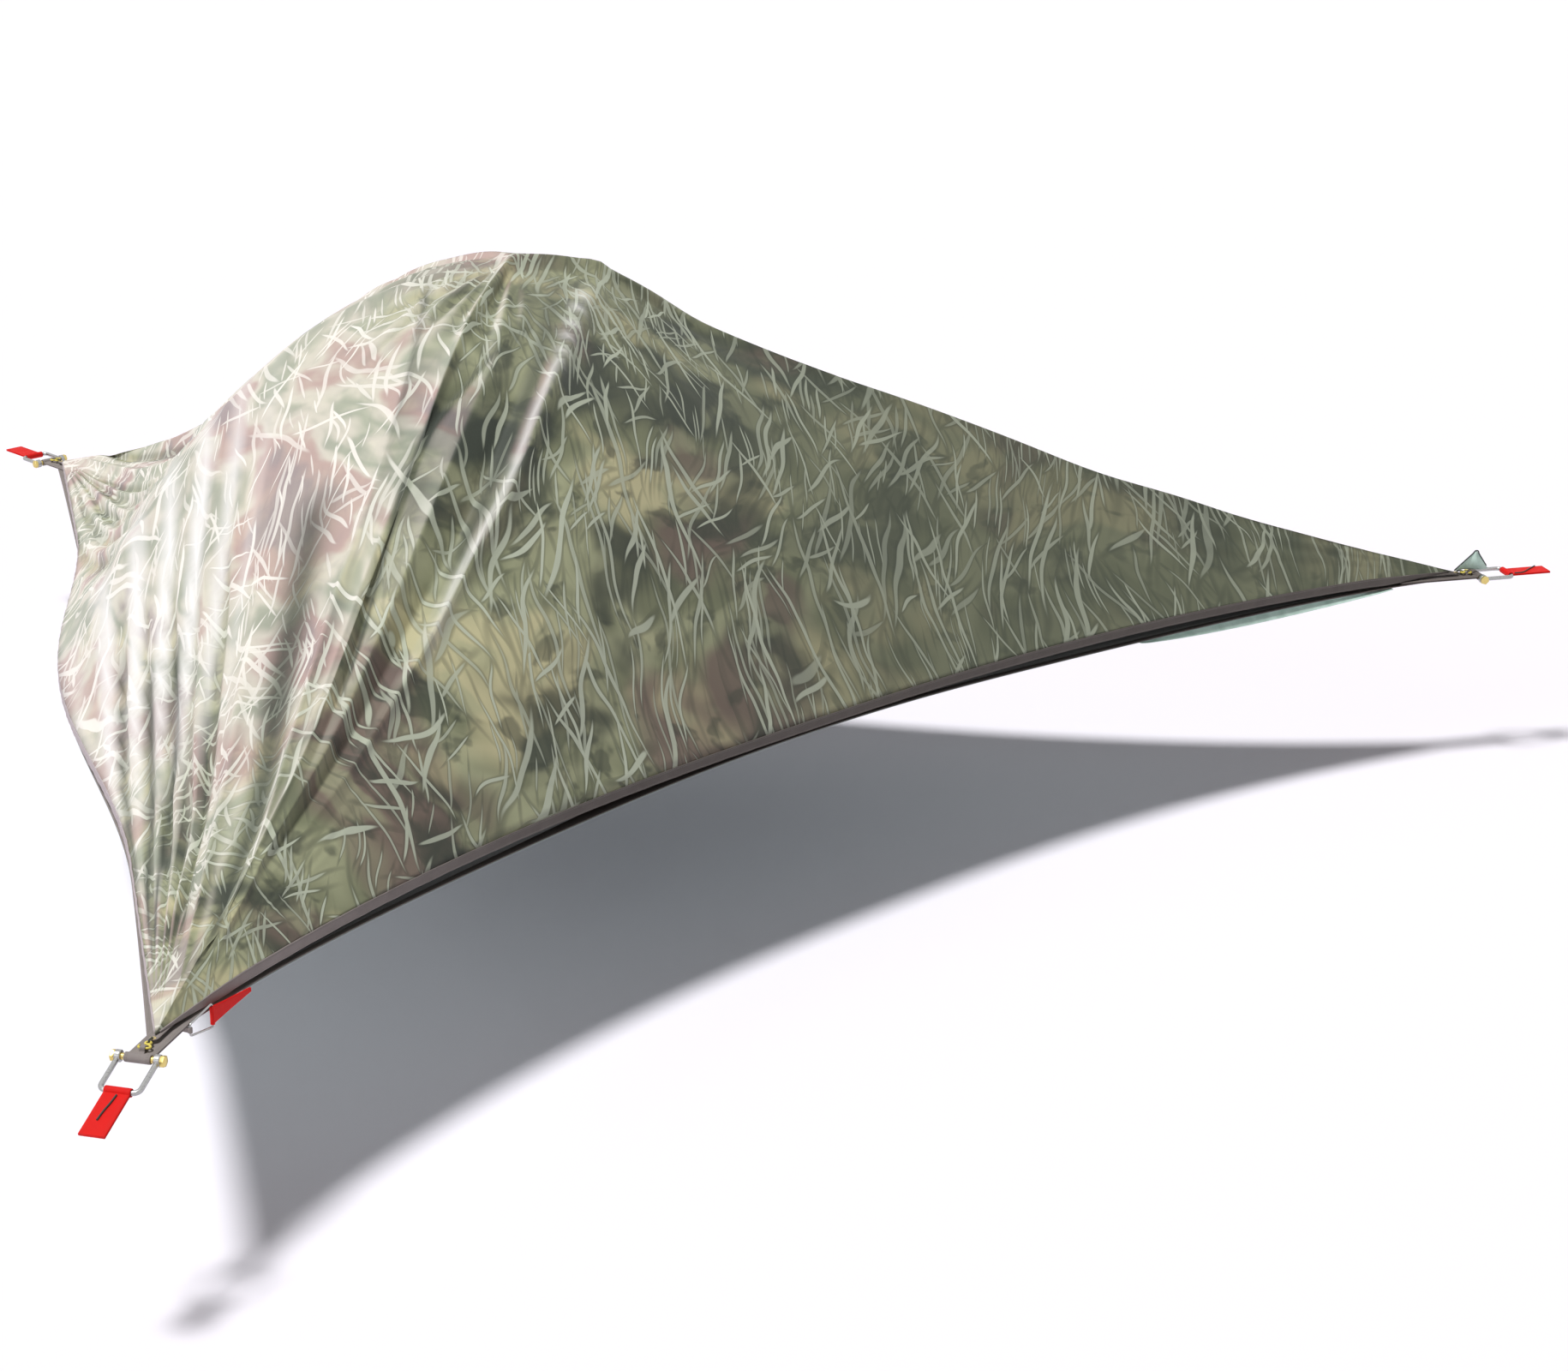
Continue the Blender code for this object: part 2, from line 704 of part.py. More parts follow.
def fold_offset(point, key):
    # the height that the folds out of one corner add at a point of the fly
    tip = direction(corner_angle[key]) * (corner_radius - fly_tip_setback)
    toward = crown - tip
    away = Vector((point.x, point.y, 0.0)) - tip
    turn = math.degrees(math.atan2(toward.x * away.y - toward.y * away.x, toward.dot(away)))
    turn *= 1.0 if key == "a" else -1.0
    share = away.length / toward.length
    height = 0.0
    for half_width, path in fold_shares:
        if path[0][0] < share < path[-1][0]:
            angle = table_value([row[:2] for row in path], share)
            size = table_value([(row[0], row[2]) for row in path], share)
            height += size * math.exp(-((turn - angle) / half_width) ** 2)
    return fold_height * height


def height_over(pole, distance, standoff):
    # the height of cloth that stands off a pole, at a distance from the crossing
    half, foot = pole_halves[pole]
    span = half[0][0]
    if distance > span + 2 * standoff:
        return 0.0
    return foot + height_along(half, distance * span / (span + standoff)) + standoff


class Cover:
    # one cloth over the poles, given by its crown height, its hem and its pole clearance

    def __init__(self, rise, hem, standoff, slack_power, folds):
        self.rise = rise
        self.hem = hem            # gives the hem's point at a share of an edge
        self.standoff = standoff
        self.slack_power = slack_power
        self.folds = folds

    def ridge_point(self, key, share):
        tip = self.hem(*corner_hem[key])
        table = front_ridge_shares if key == "b" else side_ridge_shares
        point = crown.lerp(tip, share)
        point.z = tip.z + (self.rise - tip.z) * table_value(table, share) ** self.slack_power
        if key == "b":
            distance = (Vector((tip.x, tip.y, 0.0)) - crown).length * share
            point.z = max(point.z, height_over("front", distance, self.standoff))
        return point

    def patch_point(self, patch, across, down):
        # across runs from the pole's side (0) to the corner (1), down from ridge to hem
        key, edge, pole = patch
        foot = pole_foot_share[edge]
        corner_end = 0.0 if edges[edge][0] == key else 1.0
        top = self.ridge_point(key, across)
        low = self.hem(edge, foot + (corner_end - foot) * across)
        point = top.lerp(low, down)
        foot_point = self.hem(edge, foot)
        straight = self.rise + (foot_point.z - self.rise) * down
        reach = math.hypot(foot_point.x - crown.x, foot_point.y)
        lift = height_over(pole, down * reach, self.standoff) - straight
        fade = max(0.0, 1 - across / pole_lift_share) ** 2
        point.z += max(lift, 0.0) * fade
        if self.folds:
            height = fold_offset(point, "a") + fold_offset(point, "c")
            point.z += height * min(1.0, 4 * (1 - down))
        return point


corner_hem = {"a": ("front", 0.0), "b": ("front", 1.0), "c": ("back", 1.0)}
pole_foot_share = {"front": front_foot_share, "back": 1 - front_foot_share, "rear": 0.5}
patches = (("a", "front", "side"), ("b", "front", "side"), ("b", "back", "side"),
           ("c", "back", "side"), ("c", "rear", "rear"), ("a", "rear", "rear"))


def fly_hem(edge, share):
    radius = corner_radius - fly_tip_setback
    shift = fly_tip_setback / 2 + hem_overhang
    point = edge_point(edge, share, radius, shift)
    from_corner = min(share, 1 - share) * corner_span
    tip_level = fastening_height + tab_thickness / 2 + gap + fly_thickness
    point.z = tip_level + (hem_height - tip_level) * min(1.0, from_corner / hem_tape_start)
    return point


def canopy_hem(edge, share):
    # the canopy stops short of the corners, and keeps its pole lines over the pole feet
    start = canopy_tip_setback / corner_span
    foot = pole_foot_share[edge]
    if share < foot:
        share = start + (foot - start) * share / foot
    else:
        share = foot + (1 - start - foot) * (share - foot) / (1 - foot)
    point = edge_point(edge, share) - edge_normal(edge, share) * canopy_foot_inset
    if share in (start, 1 - start):
        key = edges[edge][0] if share < 0.5 else edges[edge][1]
        point = direction(corner_angle[key]) * (corner_radius - canopy_tip_setback)
    point.z = edge_level(share) + strap_top + canopy_foot_gap + mesh_thickness
    return point


def column_shares(key):
    return front_columns if key == "b" else side_columns


def make_cover(name, cover, thickness, material, door=False):
    # six patches that share their ridges, their pole lines and the crown; with a door, some
    # of one patch is left out and made as a second sheet, a little smaller than its opening
    points = []
    door_faces = []
    index_of = {}

    def vertex(point):
        label = tuple(round(value / gap * 3) for value in point)
        if label not in index_of:
            index_of[label] = len(points)
            points.append(point)
        return index_of[label]

    faces = []
    for patch in patches:
        steps = column_shares(patch[0])
        grid = [[vertex(cover.patch_point(patch, across, j / patch_rows))
                 for j in range(patch_rows + 1)] for across in steps]
        starts_here = edges[patch[1]][0] == patch[0]
        for i in range(len(steps) - 1):
            for j in range(patch_rows):
                loop = [grid[i][j], grid[i + 1][j], grid[i + 1][j + 1], grid[i][j + 1]]
                loop = list(dict.fromkeys(loop))
                in_door = door and patch == door_patch and (
                    door_columns[0] <= i < door_columns[1] and door_rows[0] <= j < door_rows[1])
                if len(loop) > 2:
                    (door_faces if in_door else faces).append(loop if starts_here else loop[::-1])
        if patch == door_patch:
            first, last = door_columns
            hinge_row = [grid[column][door_rows[1]] for column in range(first, last + 1)]
    if door:
        make_door(points, door_faces, hinge_row, thickness, material)
    return face_out(mesh_object(name, points, faces, material), thickness)


def face_out(sheet, thickness):
    # turns a one-sided sheet's faces up and gives it its thickness downward
    bm = bmesh.new()
    bm.from_mesh(sheet.data)
    loose = [vert for vert in bm.verts if not vert.link_faces]
    bmesh.ops.delete(bm, geom=loose, context="VERTS")
    bmesh.ops.recalc_face_normals(bm, faces=bm.faces)
    if sum(face.normal.z for face in bm.faces) < 0:
        bmesh.ops.reverse_faces(bm, faces=bm.faces)
    bm.to_mesh(sheet.data)
    bm.free()
    return smooth(solidify(sheet, thickness, -1.0))


def make_door(points, faces, hinge_row, thickness, material):
    # the door's own points, its rim drawn in from the opening and its origin on its hinge,
    # the line between the two lower corners of the opening, which its lower edge follows
    used = sorted({index for face in faces for index in face})
    centre = sum((points[index] for index in used), Vector()) / len(used)
    ends = points[hinge_row[0]], points[hinge_row[-1]]
    place = {index: points[index] for index in used}
    for number, index in enumerate(hinge_row):
        place[index] = ends[0].lerp(ends[1], number / (len(hinge_row) - 1))
    hinge = (ends[0] + ends[1]) / 2
    drawn = [point - (point - centre).normalized() * door_gap - hinge for point in place.values()]
    renumbered = {index: number for number, index in enumerate(used)}
    door = mesh_object("mesh_door", drawn,
                       [[renumbered[index] for index in face] for face in faces], material)
    door.location = hinge
    return face_out(door, thickness)


door_patch = ("a", "rear", "rear")
fly = Cover(fly_rise, fly_hem, fly_standoff, 1.0, True)
canopy = Cover(canopy_rise, canopy_hem, canopy_standoff, canopy_slack_power, False)


def fly_row_above(edge, share):
    # the fly's point above a point of its hem, one row up
    foot = pole_foot_share[edge]
    first = share < foot
    across = 1 - share / foot if first else (share - foot) / (1 - foot)
    key = edges[edge][0 if first else 1]
    pole = "rear" if edge == "rear" else "side"
    return fly.patch_point((key, edge, pole), across, 1 - 1 / patch_rows)


def make_hem_tape(edge):
    # a tape under the fly's lower edge, with the same rows of points as the fly
    foot = pole_foot_share[edge]
    before, after = (column_shares(key) for key in edges[edge])
    shares = [foot * (1 - step) for step in reversed(before[1:])]
    shares += [foot + (1 - foot) * step for step in after]
    start = hem_tape_start / corner_span
    rows = []
    for share in shares:
        if start <= share <= 1 - start:
            top = fly_hem(edge, share)
            above = fly_row_above(edge, share)
            rise = (above - top).normalized().z
            top.z -= fly_thickness * math.sqrt(1 - rise * rise) + 1.5 * gap
            rows.append((top, top - Vector((0.0, 0.0, hem_tape_height))))
    return grid_sheet(edge + "_hem_tape", rows, hem_tape_thickness, 0.0, hem_webbing)


# Corner hardware

def eye_strap(name, hole_radius, thickness, tail, width, material, centre=0.0):
    # webbing doubled round a bar: an eye about the bar and two layers of tail, seen edge on;
    # the bar is at (centre, 0) and the tail leads away along -X, or along +X for a negative tail
    outer = hole_radius + thickness
    lean = math.asin(thickness / outer)
    side = 1.0 if tail > 0 else -1.0
    around = arc((0.0, 0.0), outer, -(math.pi - lean), math.pi - lean, 2 * arc_steps)
    loop = [(-tail * side, -thickness)] + around + [(-tail * side, thickness)]
    loop = [(centre + x * side, y * side) for x, y in loop]
    plate = outline_plate(name, [loop, circle((centre, 0.0), hole_radius)], width, material)
    plate.rotation_euler.x = math.pi / 2
    return plate


def make_corner_loop(key, place):
    loop = eye_strap("corner_loop_" + key, pin_radius + pin_clearance, webbing_thickness,
                     corner_loop_tail + pin_offset, webbing_width, load_webbing, pin_offset)
    loop.parent = place
    loop = as_mesh(loop)
    top = keeper_hole_radius + keeper_wall
    outline = [(-top, -fastening_height + webbing_thickness / 2)]
    outline += [(x, y) for x, y in arc((0.0, 0.0), top, math.pi, 0.0)]
    outline += [(top, -fastening_height + webbing_thickness / 2)]
    keeper = outline_plate("keeper_guide_" + key, [outline, circle((0.0, 0.0), keeper_hole_radius)],
                           keeper_width, load_webbing)
    keeper.parent = place
    keeper.rotation_euler.x = math.pi / 2
    keeper.location = (keeper_offset, 0.0, fastening_height)
    combine(loop, as_mesh(keeper), "UNION")


leg_offset = webbing_width / 2 + shackle_bend


def shackle_line():
    # legs and bow of the shackle as one bar, round corners between them
    bend_x = shackle_length - shackle_bend
    first = arc((bend_x, -leg_offset + shackle_bend), shackle_bend, -math.pi / 2, 0.0, 6)
    second = arc((bend_x, leg_offset - shackle_bend), shackle_bend, 0.0, math.pi / 2, 6)
    return [Vector((x, y, 0.0)) for x, y in [(0.0, -leg_offset)] + first + second + [(0.0, leg_offset)]]


def make_shackle(key, pivot):
    bar = as_mesh(rod("shackle_" + key, shackle_line(), shackle_rod_radius, steel))
    eye_width = 2 * shackle_rod_radius
    for side in (-1, 1):
        eye = cylinder(f"shackle_eye_{key}_{side + 1}", shackle_eye_radius, eye_width, steel)
        eye.rotation_euler.x = math.pi / 2
        eye.location.y = side * leg_offset
        eye.parent = pivot
        combine(bar, eye, "UNION")
    bore = cylinder("shackle_bore_" + key, pin_radius + pin_clearance,
                    2 * leg_offset + eye_width + 2 * cut_overrun, steel)
    bore.rotation_euler.x = math.pi / 2
    bore.parent = pivot
    combine(bar, bore, "DIFFERENCE")
    bar.parent = pivot
    smooth(bar)


def make_pin(key, pivot):
    reach = leg_offset + shackle_rod_radius + eye_end_clearance
    shank = cylinder("shackle_pin_" + key, pin_radius, 2 * reach + pin_head_length, brass)
    shank.rotation_euler.x = math.pi / 2
    shank.parent = pivot
    for side in (-1, 1):
        head = cylinder(f"pin_head_{key}_{side + 1}", pin_head_radius, pin_head_length, brass, 6)
        head.rotation_euler.x = math.pi / 2
        head.location.y = side * (reach + pin_head_length / 2)
        head.parent = pivot
        combine(shank, head, "UNION")
    smooth(shank)


def make_anchor_strap(key, pivot):
    strap = eye_strap("anchor_strap_" + key, shackle_rod_radius + pin_clearance, webbing_thickness,
                      -anchor_strap_length, webbing_width, red_webbing)
    strap.location.x = shackle_length
    strap.parent = pivot


def make_fly_fastening(key, place):
    # a flat hook through the keeper, a bungee ring in its eye, and the fly's corner tab
    y = hook_half_width
    tip_x = keeper_offset - hook_tip_length
    bend = hook_half_width / 2
    line = [(hook_eye_offset + hook_eye_radius, 0.0), (hook_eye_offset + 2 * hook_eye_radius, y)]
    line += arc((keeper_offset - bend, y - bend), bend, math.pi / 2, 0.0, 5)
    line += arc((keeper_offset - bend, -y + bend), bend, 0.0, -math.pi / 2, 5)
    line += [(tip_x, -y)]
    hook = as_mesh(rod("fly_hook_" + key, [Vector((x, t, 0.0)) for x, t in line],
                       hook_rod_radius, yellow_plastic))
    eye_line = [Vector((x, t, 0.0)) for x, t in circle((hook_eye_offset, 0.0), hook_eye_radius)]
    eye = as_mesh(rod("hook_eye_" + key, eye_line, hook_rod_radius, yellow_plastic, cyclic=True))
    for piece in (hook, eye):
        piece.parent = place
        piece.location.z = fastening_height
    combine(hook, eye, "UNION")
    smooth(hook)

    right = hook_eye_offset - hook_eye_radius + hook_rod_radius + bungee_radius + gap
    left = tab_hole_offset + tab_hole_radius - bungee_radius - gap
    bend = bungee_radius * 1.3
    ring = arc((right - bend, bungee_half_height - bend), bend, 0.0, math.pi / 2, 4)
    ring += arc((left + bend, bungee_half_height - bend), bend, math.pi / 2, math.pi, 4)
    ring += arc((left + bend, -bungee_half_height + bend), bend, math.pi, 1.5 * math.pi, 4)
    ring += arc((right - bend, -bungee_half_height + bend), bend, -math.pi / 2, 0.0, 4)
    bungee = rod("fly_bungee_" + key, [Vector((x, 0.0, z)) for x, z in ring], bungee_radius,
                 dark_cord, cyclic=True)
    bungee.parent = place
    bungee.location.z = fastening_height

    half = tab_width / 2
    outline = [(-tab_tail, -half)] + arc((tab_end_offset - half, 0.0), half, -math.pi / 2, math.pi / 2)
    outline += [(-tab_tail, half)]
    tab = outline_plate("fly_corner_tab_" + key,
                        [outline, circle((tab_hole_offset, 0.0), tab_hole_radius, 14)],
                        tab_thickness, hem_webbing)
    tab.parent = place
    tab.location.z = fastening_height


def make_corner(key):
    angle = corner_angle[key]
    place = frame_at("corner_" + key, direction(angle) * corner_radius, angle)
    pivot = frame_at("shackle_pivot_" + key, (pin_offset, 0.0, 0.0), 0.0,
                     math.radians(corner_droop[key]), place)
    make_corner_loop(key, place)
    make_shackle(key, pivot)
    make_pin(key, pivot)
    make_anchor_strap(key, pivot)
    make_fly_fastening(key, place)


# Tensioning ring and pull tab under the webbing loop at corner A

def make_tension_ring():
    share = ring_distance / corner_span
    outward = edge_normal("front", share)
    base = edge_point("front", share)
    level = -webbing_thickness - gap - ring_keeper_height / 2
    along = Vector((-outward.y, outward.x, 0.0))
    origin = base + outward * (webbing_width / 2 - ring_tuck)
    place = frame_at("ring_place", (origin.x, origin.y, level), math.atan2(along.y, along.x))
    bend = ring_rod_radius * 1.5
    small, large = ring_small_bar / 2, ring_large_bar / 2
    line = [Vector((0.0, 0.0, small)), Vector((0.0, 0.0, -small)), Vector((bend, 0.0, -small - bend)),
            Vector((ring_length - bend, 0.0, -large)), Vector((ring_length, 0.0, -large + bend)),
            Vector((ring_length, 0.0, large - bend)), Vector((ring_length - bend, 0.0, large)),
            Vector((bend, 0.0, small + bend))]
    ring = rod("tension_ring", line, ring_rod_radius, steel, cyclic=True)
    ring.parent = place
    hole = ring_rod_radius + pin_clearance
    keeper = eye_strap("ring_keeper", hole, ring_tape_thickness, ring_keeper_tail,
                       ring_keeper_height, load_webbing)
    keeper.rotation_euler = (0.0, 0.0, -math.pi / 2)
    keeper.parent = place
    tab = eye_strap("red_pull_tab", hole, ring_tape_thickness, -ring_tab_length, ring_tab_width,
                    red_webbing)
    tab.rotation_euler.x = 0.0
    tab.location.x = ring_length
    tab.parent = place


for edge in edges:
    make_edge_strap(edge)
    make_floor_bay(edge)
    make_hem_tape(edge)
for key in corner_angle:
    make_cross_strap(key)
    make_corner(key)
make_hatch()
make_hatch_slider("front")
make_hatch_slider("back")
make_poles()
make_crossing_hub()
make_tension_ring()
make_cover("mesh_canopy", canopy, mesh_thickness, mesh_fabric, door=True)
make_cover("rain_fly", fly, fly_thickness, fly_fabric)
bpy.context.view_layer.update()
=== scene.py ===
import math

import bmesh
import bpy
import numpy as np
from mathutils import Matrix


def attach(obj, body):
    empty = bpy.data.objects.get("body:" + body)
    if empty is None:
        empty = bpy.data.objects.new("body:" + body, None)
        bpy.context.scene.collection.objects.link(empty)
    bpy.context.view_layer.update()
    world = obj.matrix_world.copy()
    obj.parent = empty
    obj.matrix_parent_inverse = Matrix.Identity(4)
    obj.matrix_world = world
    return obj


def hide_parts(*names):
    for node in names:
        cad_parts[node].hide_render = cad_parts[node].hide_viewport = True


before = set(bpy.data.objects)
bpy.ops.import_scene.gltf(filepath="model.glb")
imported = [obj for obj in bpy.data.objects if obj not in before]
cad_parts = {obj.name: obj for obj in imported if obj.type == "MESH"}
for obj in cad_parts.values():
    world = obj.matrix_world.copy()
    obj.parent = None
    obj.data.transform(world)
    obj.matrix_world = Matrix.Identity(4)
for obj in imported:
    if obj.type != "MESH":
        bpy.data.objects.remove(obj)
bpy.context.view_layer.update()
print("frame:", len(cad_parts), "nodes")

# Plan of the tent: metres, corner B along +X, the crown a little behind the middle
plan = {"span": 3.900, "sideInset": 0.340, "sidePower": 2.4, "rearInset": 0.030,
        "rearPush": 0.095, "rearReach": 0.30, "crownX": -0.130}
cornerRadius = plan["span"] / math.sqrt(3)
cornerTurn = {"a": math.radians(-120), "b": 0.0, "c": math.radians(120)}
edgeEnds = {"front": ("a", "b"), "back": ("b", "c"), "rear": ("c", "a")}
crown = np.array([plan["crownX"], 0.0])
webbing = {"width": 0.050, "thick": 0.0025, "level": -0.00405, "dip": 0.016, "lap": 0.0003, "tip": 0.045}


# Shapes shared by the pieces

def outward(key):
    # unit plan direction from the middle to a corner: (cos turn, sin turn)
    return np.array([math.cos(cornerTurn[key]), math.sin(cornerTurn[key])])


def sideways(key):
    # the same direction turned a quarter to the left: (-sin turn, cos turn)
    return np.array([-outward(key)[1], outward(key)[0]])


def smoothRead(xs, ys, x):
    # cubic through the table's points; the slope at each comes from its two neighbours
    xs, ys = np.asarray(xs, float), np.asarray(ys, float)
    slope = np.gradient(ys, xs)
    x = np.clip(x, xs[0], xs[-1])
    i = np.clip(np.searchsorted(xs, x) - 1, 0, len(xs) - 2)
    step = xs[i + 1] - xs[i]
    t = (x - xs[i]) / step
    return ((2 * t**3 - 3 * t**2 + 1) * ys[i] + (t**3 - 2 * t**2 + t) * step * slope[i]
            + (3 * t**2 - 2 * t**3) * ys[i + 1] + (t**3 - t**2) * step * slope[i + 1])


def softStep(t):
    # 3 t^2 - 2 t^3
    return t * t * (3 - 2 * t)


def window(x, low, high, rise, fall):
    # 0 outside low and high, climbing over rise inside the one and falling over fall inside the other
    return np.clip((x - low) / rise, 0, 1) * np.clip((high - x) / fall, 0, 1)


def waveSum(x, y, waves):
    # sum of share * sin(a x + b y + c), each wave being (share, a, b, c)
    return sum(share * np.sin(a * x + b * y + c) for share, a, b, c in waves)


def edgeLine(edge, share, radius=cornerRadius, shift=0.0):
    # the chord between two corners drawn in by inset * (1 - |2s - 1|^p); at the rear a squared
    # cosine pushes it out again round the pole foot
    share = np.asarray(share, float)
    start, end = (outward(key) * radius for key in edgeEnds[edge])
    inward = -(start + end) / np.linalg.norm(start + end)
    square = 1 - np.abs(2 * share - 1) ** plan["sidePower"]
    if edge == "rear":
        reach = np.minimum(1, np.abs(share - 0.5) / plan["rearReach"])
        inset = plan["rearInset"] * 4 * share * (1 - share)
        inset = inset - plan["rearPush"] * np.cos(np.pi / 2 * reach) ** 2
    else:
        inset = plan["sideInset"] * square
    return start + share[..., None] * (end - start) + (inset - shift * square)[..., None] * inward


def edgeNormal(edge, share):
    # outward plan normal of an edge: its slope by a small step, turned a quarter
    share = np.asarray(share, float)
    along = edgeLine(edge, np.minimum(1, share + 1e-3)) - edgeLine(edge, np.maximum(0, share - 1e-3))
    return unit(np.stack([along[..., 1], -along[..., 0]], -1))


def edgeLevel(share):
    # an edge strap dips twice between its ends: level - dip * sin^2(2 pi s)
    return webbing["level"] - webbing["dip"] * np.sin(2 * np.pi * np.asarray(share)) ** 2


def edgeShares(start, count):
    # even shares of an edge, from a distance past one corner to as far before the next
    return np.linspace(start, plan["span"] - start, count) / plan["span"]


def fromEnd(share):
    # distance along an edge to its nearer corner: span * min(s, 1 - s)
    return np.minimum(share, 1 - share) * plan["span"]


def edgeHalves(edge, share):
    # for each end of an edge: its corner, the way from that corner's line to the edge, and its half
    return [(key, sideways(key) * side, mine)
            for key, side, mine in zip(edgeEnds[edge], (1, -1), (share < 0.5, share >= 0.5))]


def lifted(flat, height):
    # plan points given their height
    return np.concatenate([flat, np.broadcast_to(height, flat.shape[:-1])[..., None]], -1)


def upright(line, height=0.0):
    # points (x, z) of a line seen from the side, set at y = 0
    x, z = np.asarray(line, float).T
    return np.stack([x, 0 * x, z + height], -1)


def unit(vectors):
    # each vector over its own length
    return vectors / np.maximum(np.linalg.norm(vectors, axis=-1, keepdims=True), 1e-12)


def lengthAlong(path):
    # distance from the first point to each point of a path
    return np.concatenate([[0], np.cumsum(np.linalg.norm(np.diff(path, axis=0), axis=1))])


def resample(path, count):
    # count points at even steps along a path
    length = lengthAlong(path)
    even = np.linspace(0, length[-1], count)
    return np.stack([np.interp(even, length, column) for column in path.T], -1)


def smoothPath(points, count):
    # cubic through a few points, read at even steps of its length
    points = np.asarray(points, float)
    length = lengthAlong(points)
    fine = np.linspace(0, length[-1], count * 4)
    return resample(np.stack([smoothRead(length, column, fine) for column in points.T], -1), count)


def arcLine(centre, radius, start, end, steps):
    # points of a circle's arc in a plane: centre + r (cos, sin)
    turn = np.linspace(start, end, steps + 1)
    return np.stack([centre[0] + radius * np.cos(turn), centre[1] + radius * np.sin(turn)], -1)


def atCorner(local, key, pivot=0.0, droop=0.0):
    # local points (x out, y left, z up) from a pivot outside a corner, tilted down by droop
    x, y, z = np.moveaxis(np.asarray(local, float), -1, 0)
    tilt = math.radians(droop)
    x, z = x * math.cos(tilt) + z * math.sin(tilt), z * math.cos(tilt) - x * math.sin(tilt)
    return lifted((cornerRadius + pivot + x)[..., None] * outward(key) + y[..., None] * sideways(key), z)


def readAll(data, name, width=1, kind=float):
    # one property of every element of a mesh, as an array
    values = np.zeros(len(data) * width, kind)
    data.foreach_get(name, values)
    return values.reshape(-1, width) if width > 1 else values


def placeObject(name, data):
    # an object with the given data, linked into the scene
    made = bpy.data.objects.new(name, data)
    bpy.context.scene.collection.objects.link(made)
    return made


def addPiece(name, points, faces, material, body="tent", replaced=None, slot=None, uv=None):
    # one mesh piece: smooth faces, an own UV map in metres, the body it rides on
    mesh = bpy.data.meshes.new(name)
    mesh.from_pydata(points.reshape(-1, 3).tolist(), [], faces)
    mesh.materials.append(material)
    if uv is not None:
        corner = readAll(mesh.loops, "vertex_index", kind=np.int32)
        mesh.uv_layers.new(name="cloth").data.foreach_set("uv", uv[corner].ravel())
    mesh.shade_smooth()
    piece = placeObject(name, mesh)
    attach(piece, body)
    if replaced:
        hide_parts(replaced)
    return piece


def gridFaces(rows, columns, closeColumns=False, capEnds=False, first=0, closeRows=False):
    # quads between neighbouring points of a grid, its columns or rows closed into a ring if asked
    index = np.arange(rows * columns).reshape(rows, columns) + first
    if closeColumns:
        index = np.concatenate([index, index[:, :1]], 1)
    if closeRows:
        index = np.concatenate([index, index[:1]], 0)
    quads = np.stack([index[:-1, :-1], index[1:, :-1], index[1:, 1:], index[:-1, 1:]], -1)
    faces = quads.reshape(-1, 4).tolist()
    if capEnds:
        faces += [index[0, :columns].tolist(), index[-1, :columns][::-1].tolist()]
    return faces


# Outline of a flat band: places across it (0 to 1) and through it (-0.5 to 0.5)
bandSide = np.array([0, .012, .06, .2, .35, .5, .65, .8, .94, .988, 1])
bandTop = np.array([0, .38] + [.5] * 7 + [.38])
bandAcross, bandThrough = np.concatenate([bandSide, bandSide[-2:0:-1]]), np.concatenate([bandTop, -bandTop])


def bandParts(left, right, thick):
    # a band between two lines: left + a (right - left) + b * thick * normal round its outline
    middle, across = (left + right) / 2, right - left
    normal = unit(np.cross(across, unit(np.gradient(middle, axis=0))))
    points = (left[:, None] + bandAcross[None, :, None] * across[:, None]
              + bandThrough[None, :, None] * thick * normal[:, None])
    u = np.broadcast_to(lengthAlong(middle)[:, None], points.shape[:2])
    v = (bandAcross[None] - 0.5) * np.linalg.norm(across, axis=1)[:, None]
    return points, gridFaces(*points.shape[:2], True, True), np.stack([u, v], -1)


def ribbon(path, side, width, thick):
    # left line, right line and thickness of a band of even width along a path
    half = unit(np.broadcast_to(side, path.shape)) * np.broadcast_to(width, (len(path),))[:, None] / 2
    return path - half, path + half, thick


def tubeParts(path, radius, side, sides=14, closed=False):
    # a circle carried along a path, its plane held by one side direction: place + r (cos t first +
    # sin t second), with u along it and v round it
    along = unit(np.roll(path, -1, 0) - np.roll(path, 1, 0) if closed else np.gradient(path, axis=0))
    first = unit(np.cross(np.broadcast_to(side, path.shape), along))
    second = np.cross(along, first)
    turn = np.linspace(0, 2 * np.pi, sides, endpoint=False)
    ring = first[:, None] * np.cos(turn)[None, :, None] + second[:, None] * np.sin(turn)[None, :, None]
    points = path[:, None] + ring * np.broadcast_to(radius, (len(path),))[:, None, None]
    uv = np.stack(np.broadcast_arrays(lengthAlong(path)[:, None], turn[None] * np.max(radius)), -1)
    return points, gridFaces(len(path), sides, True, not closed, closeRows=closed), uv


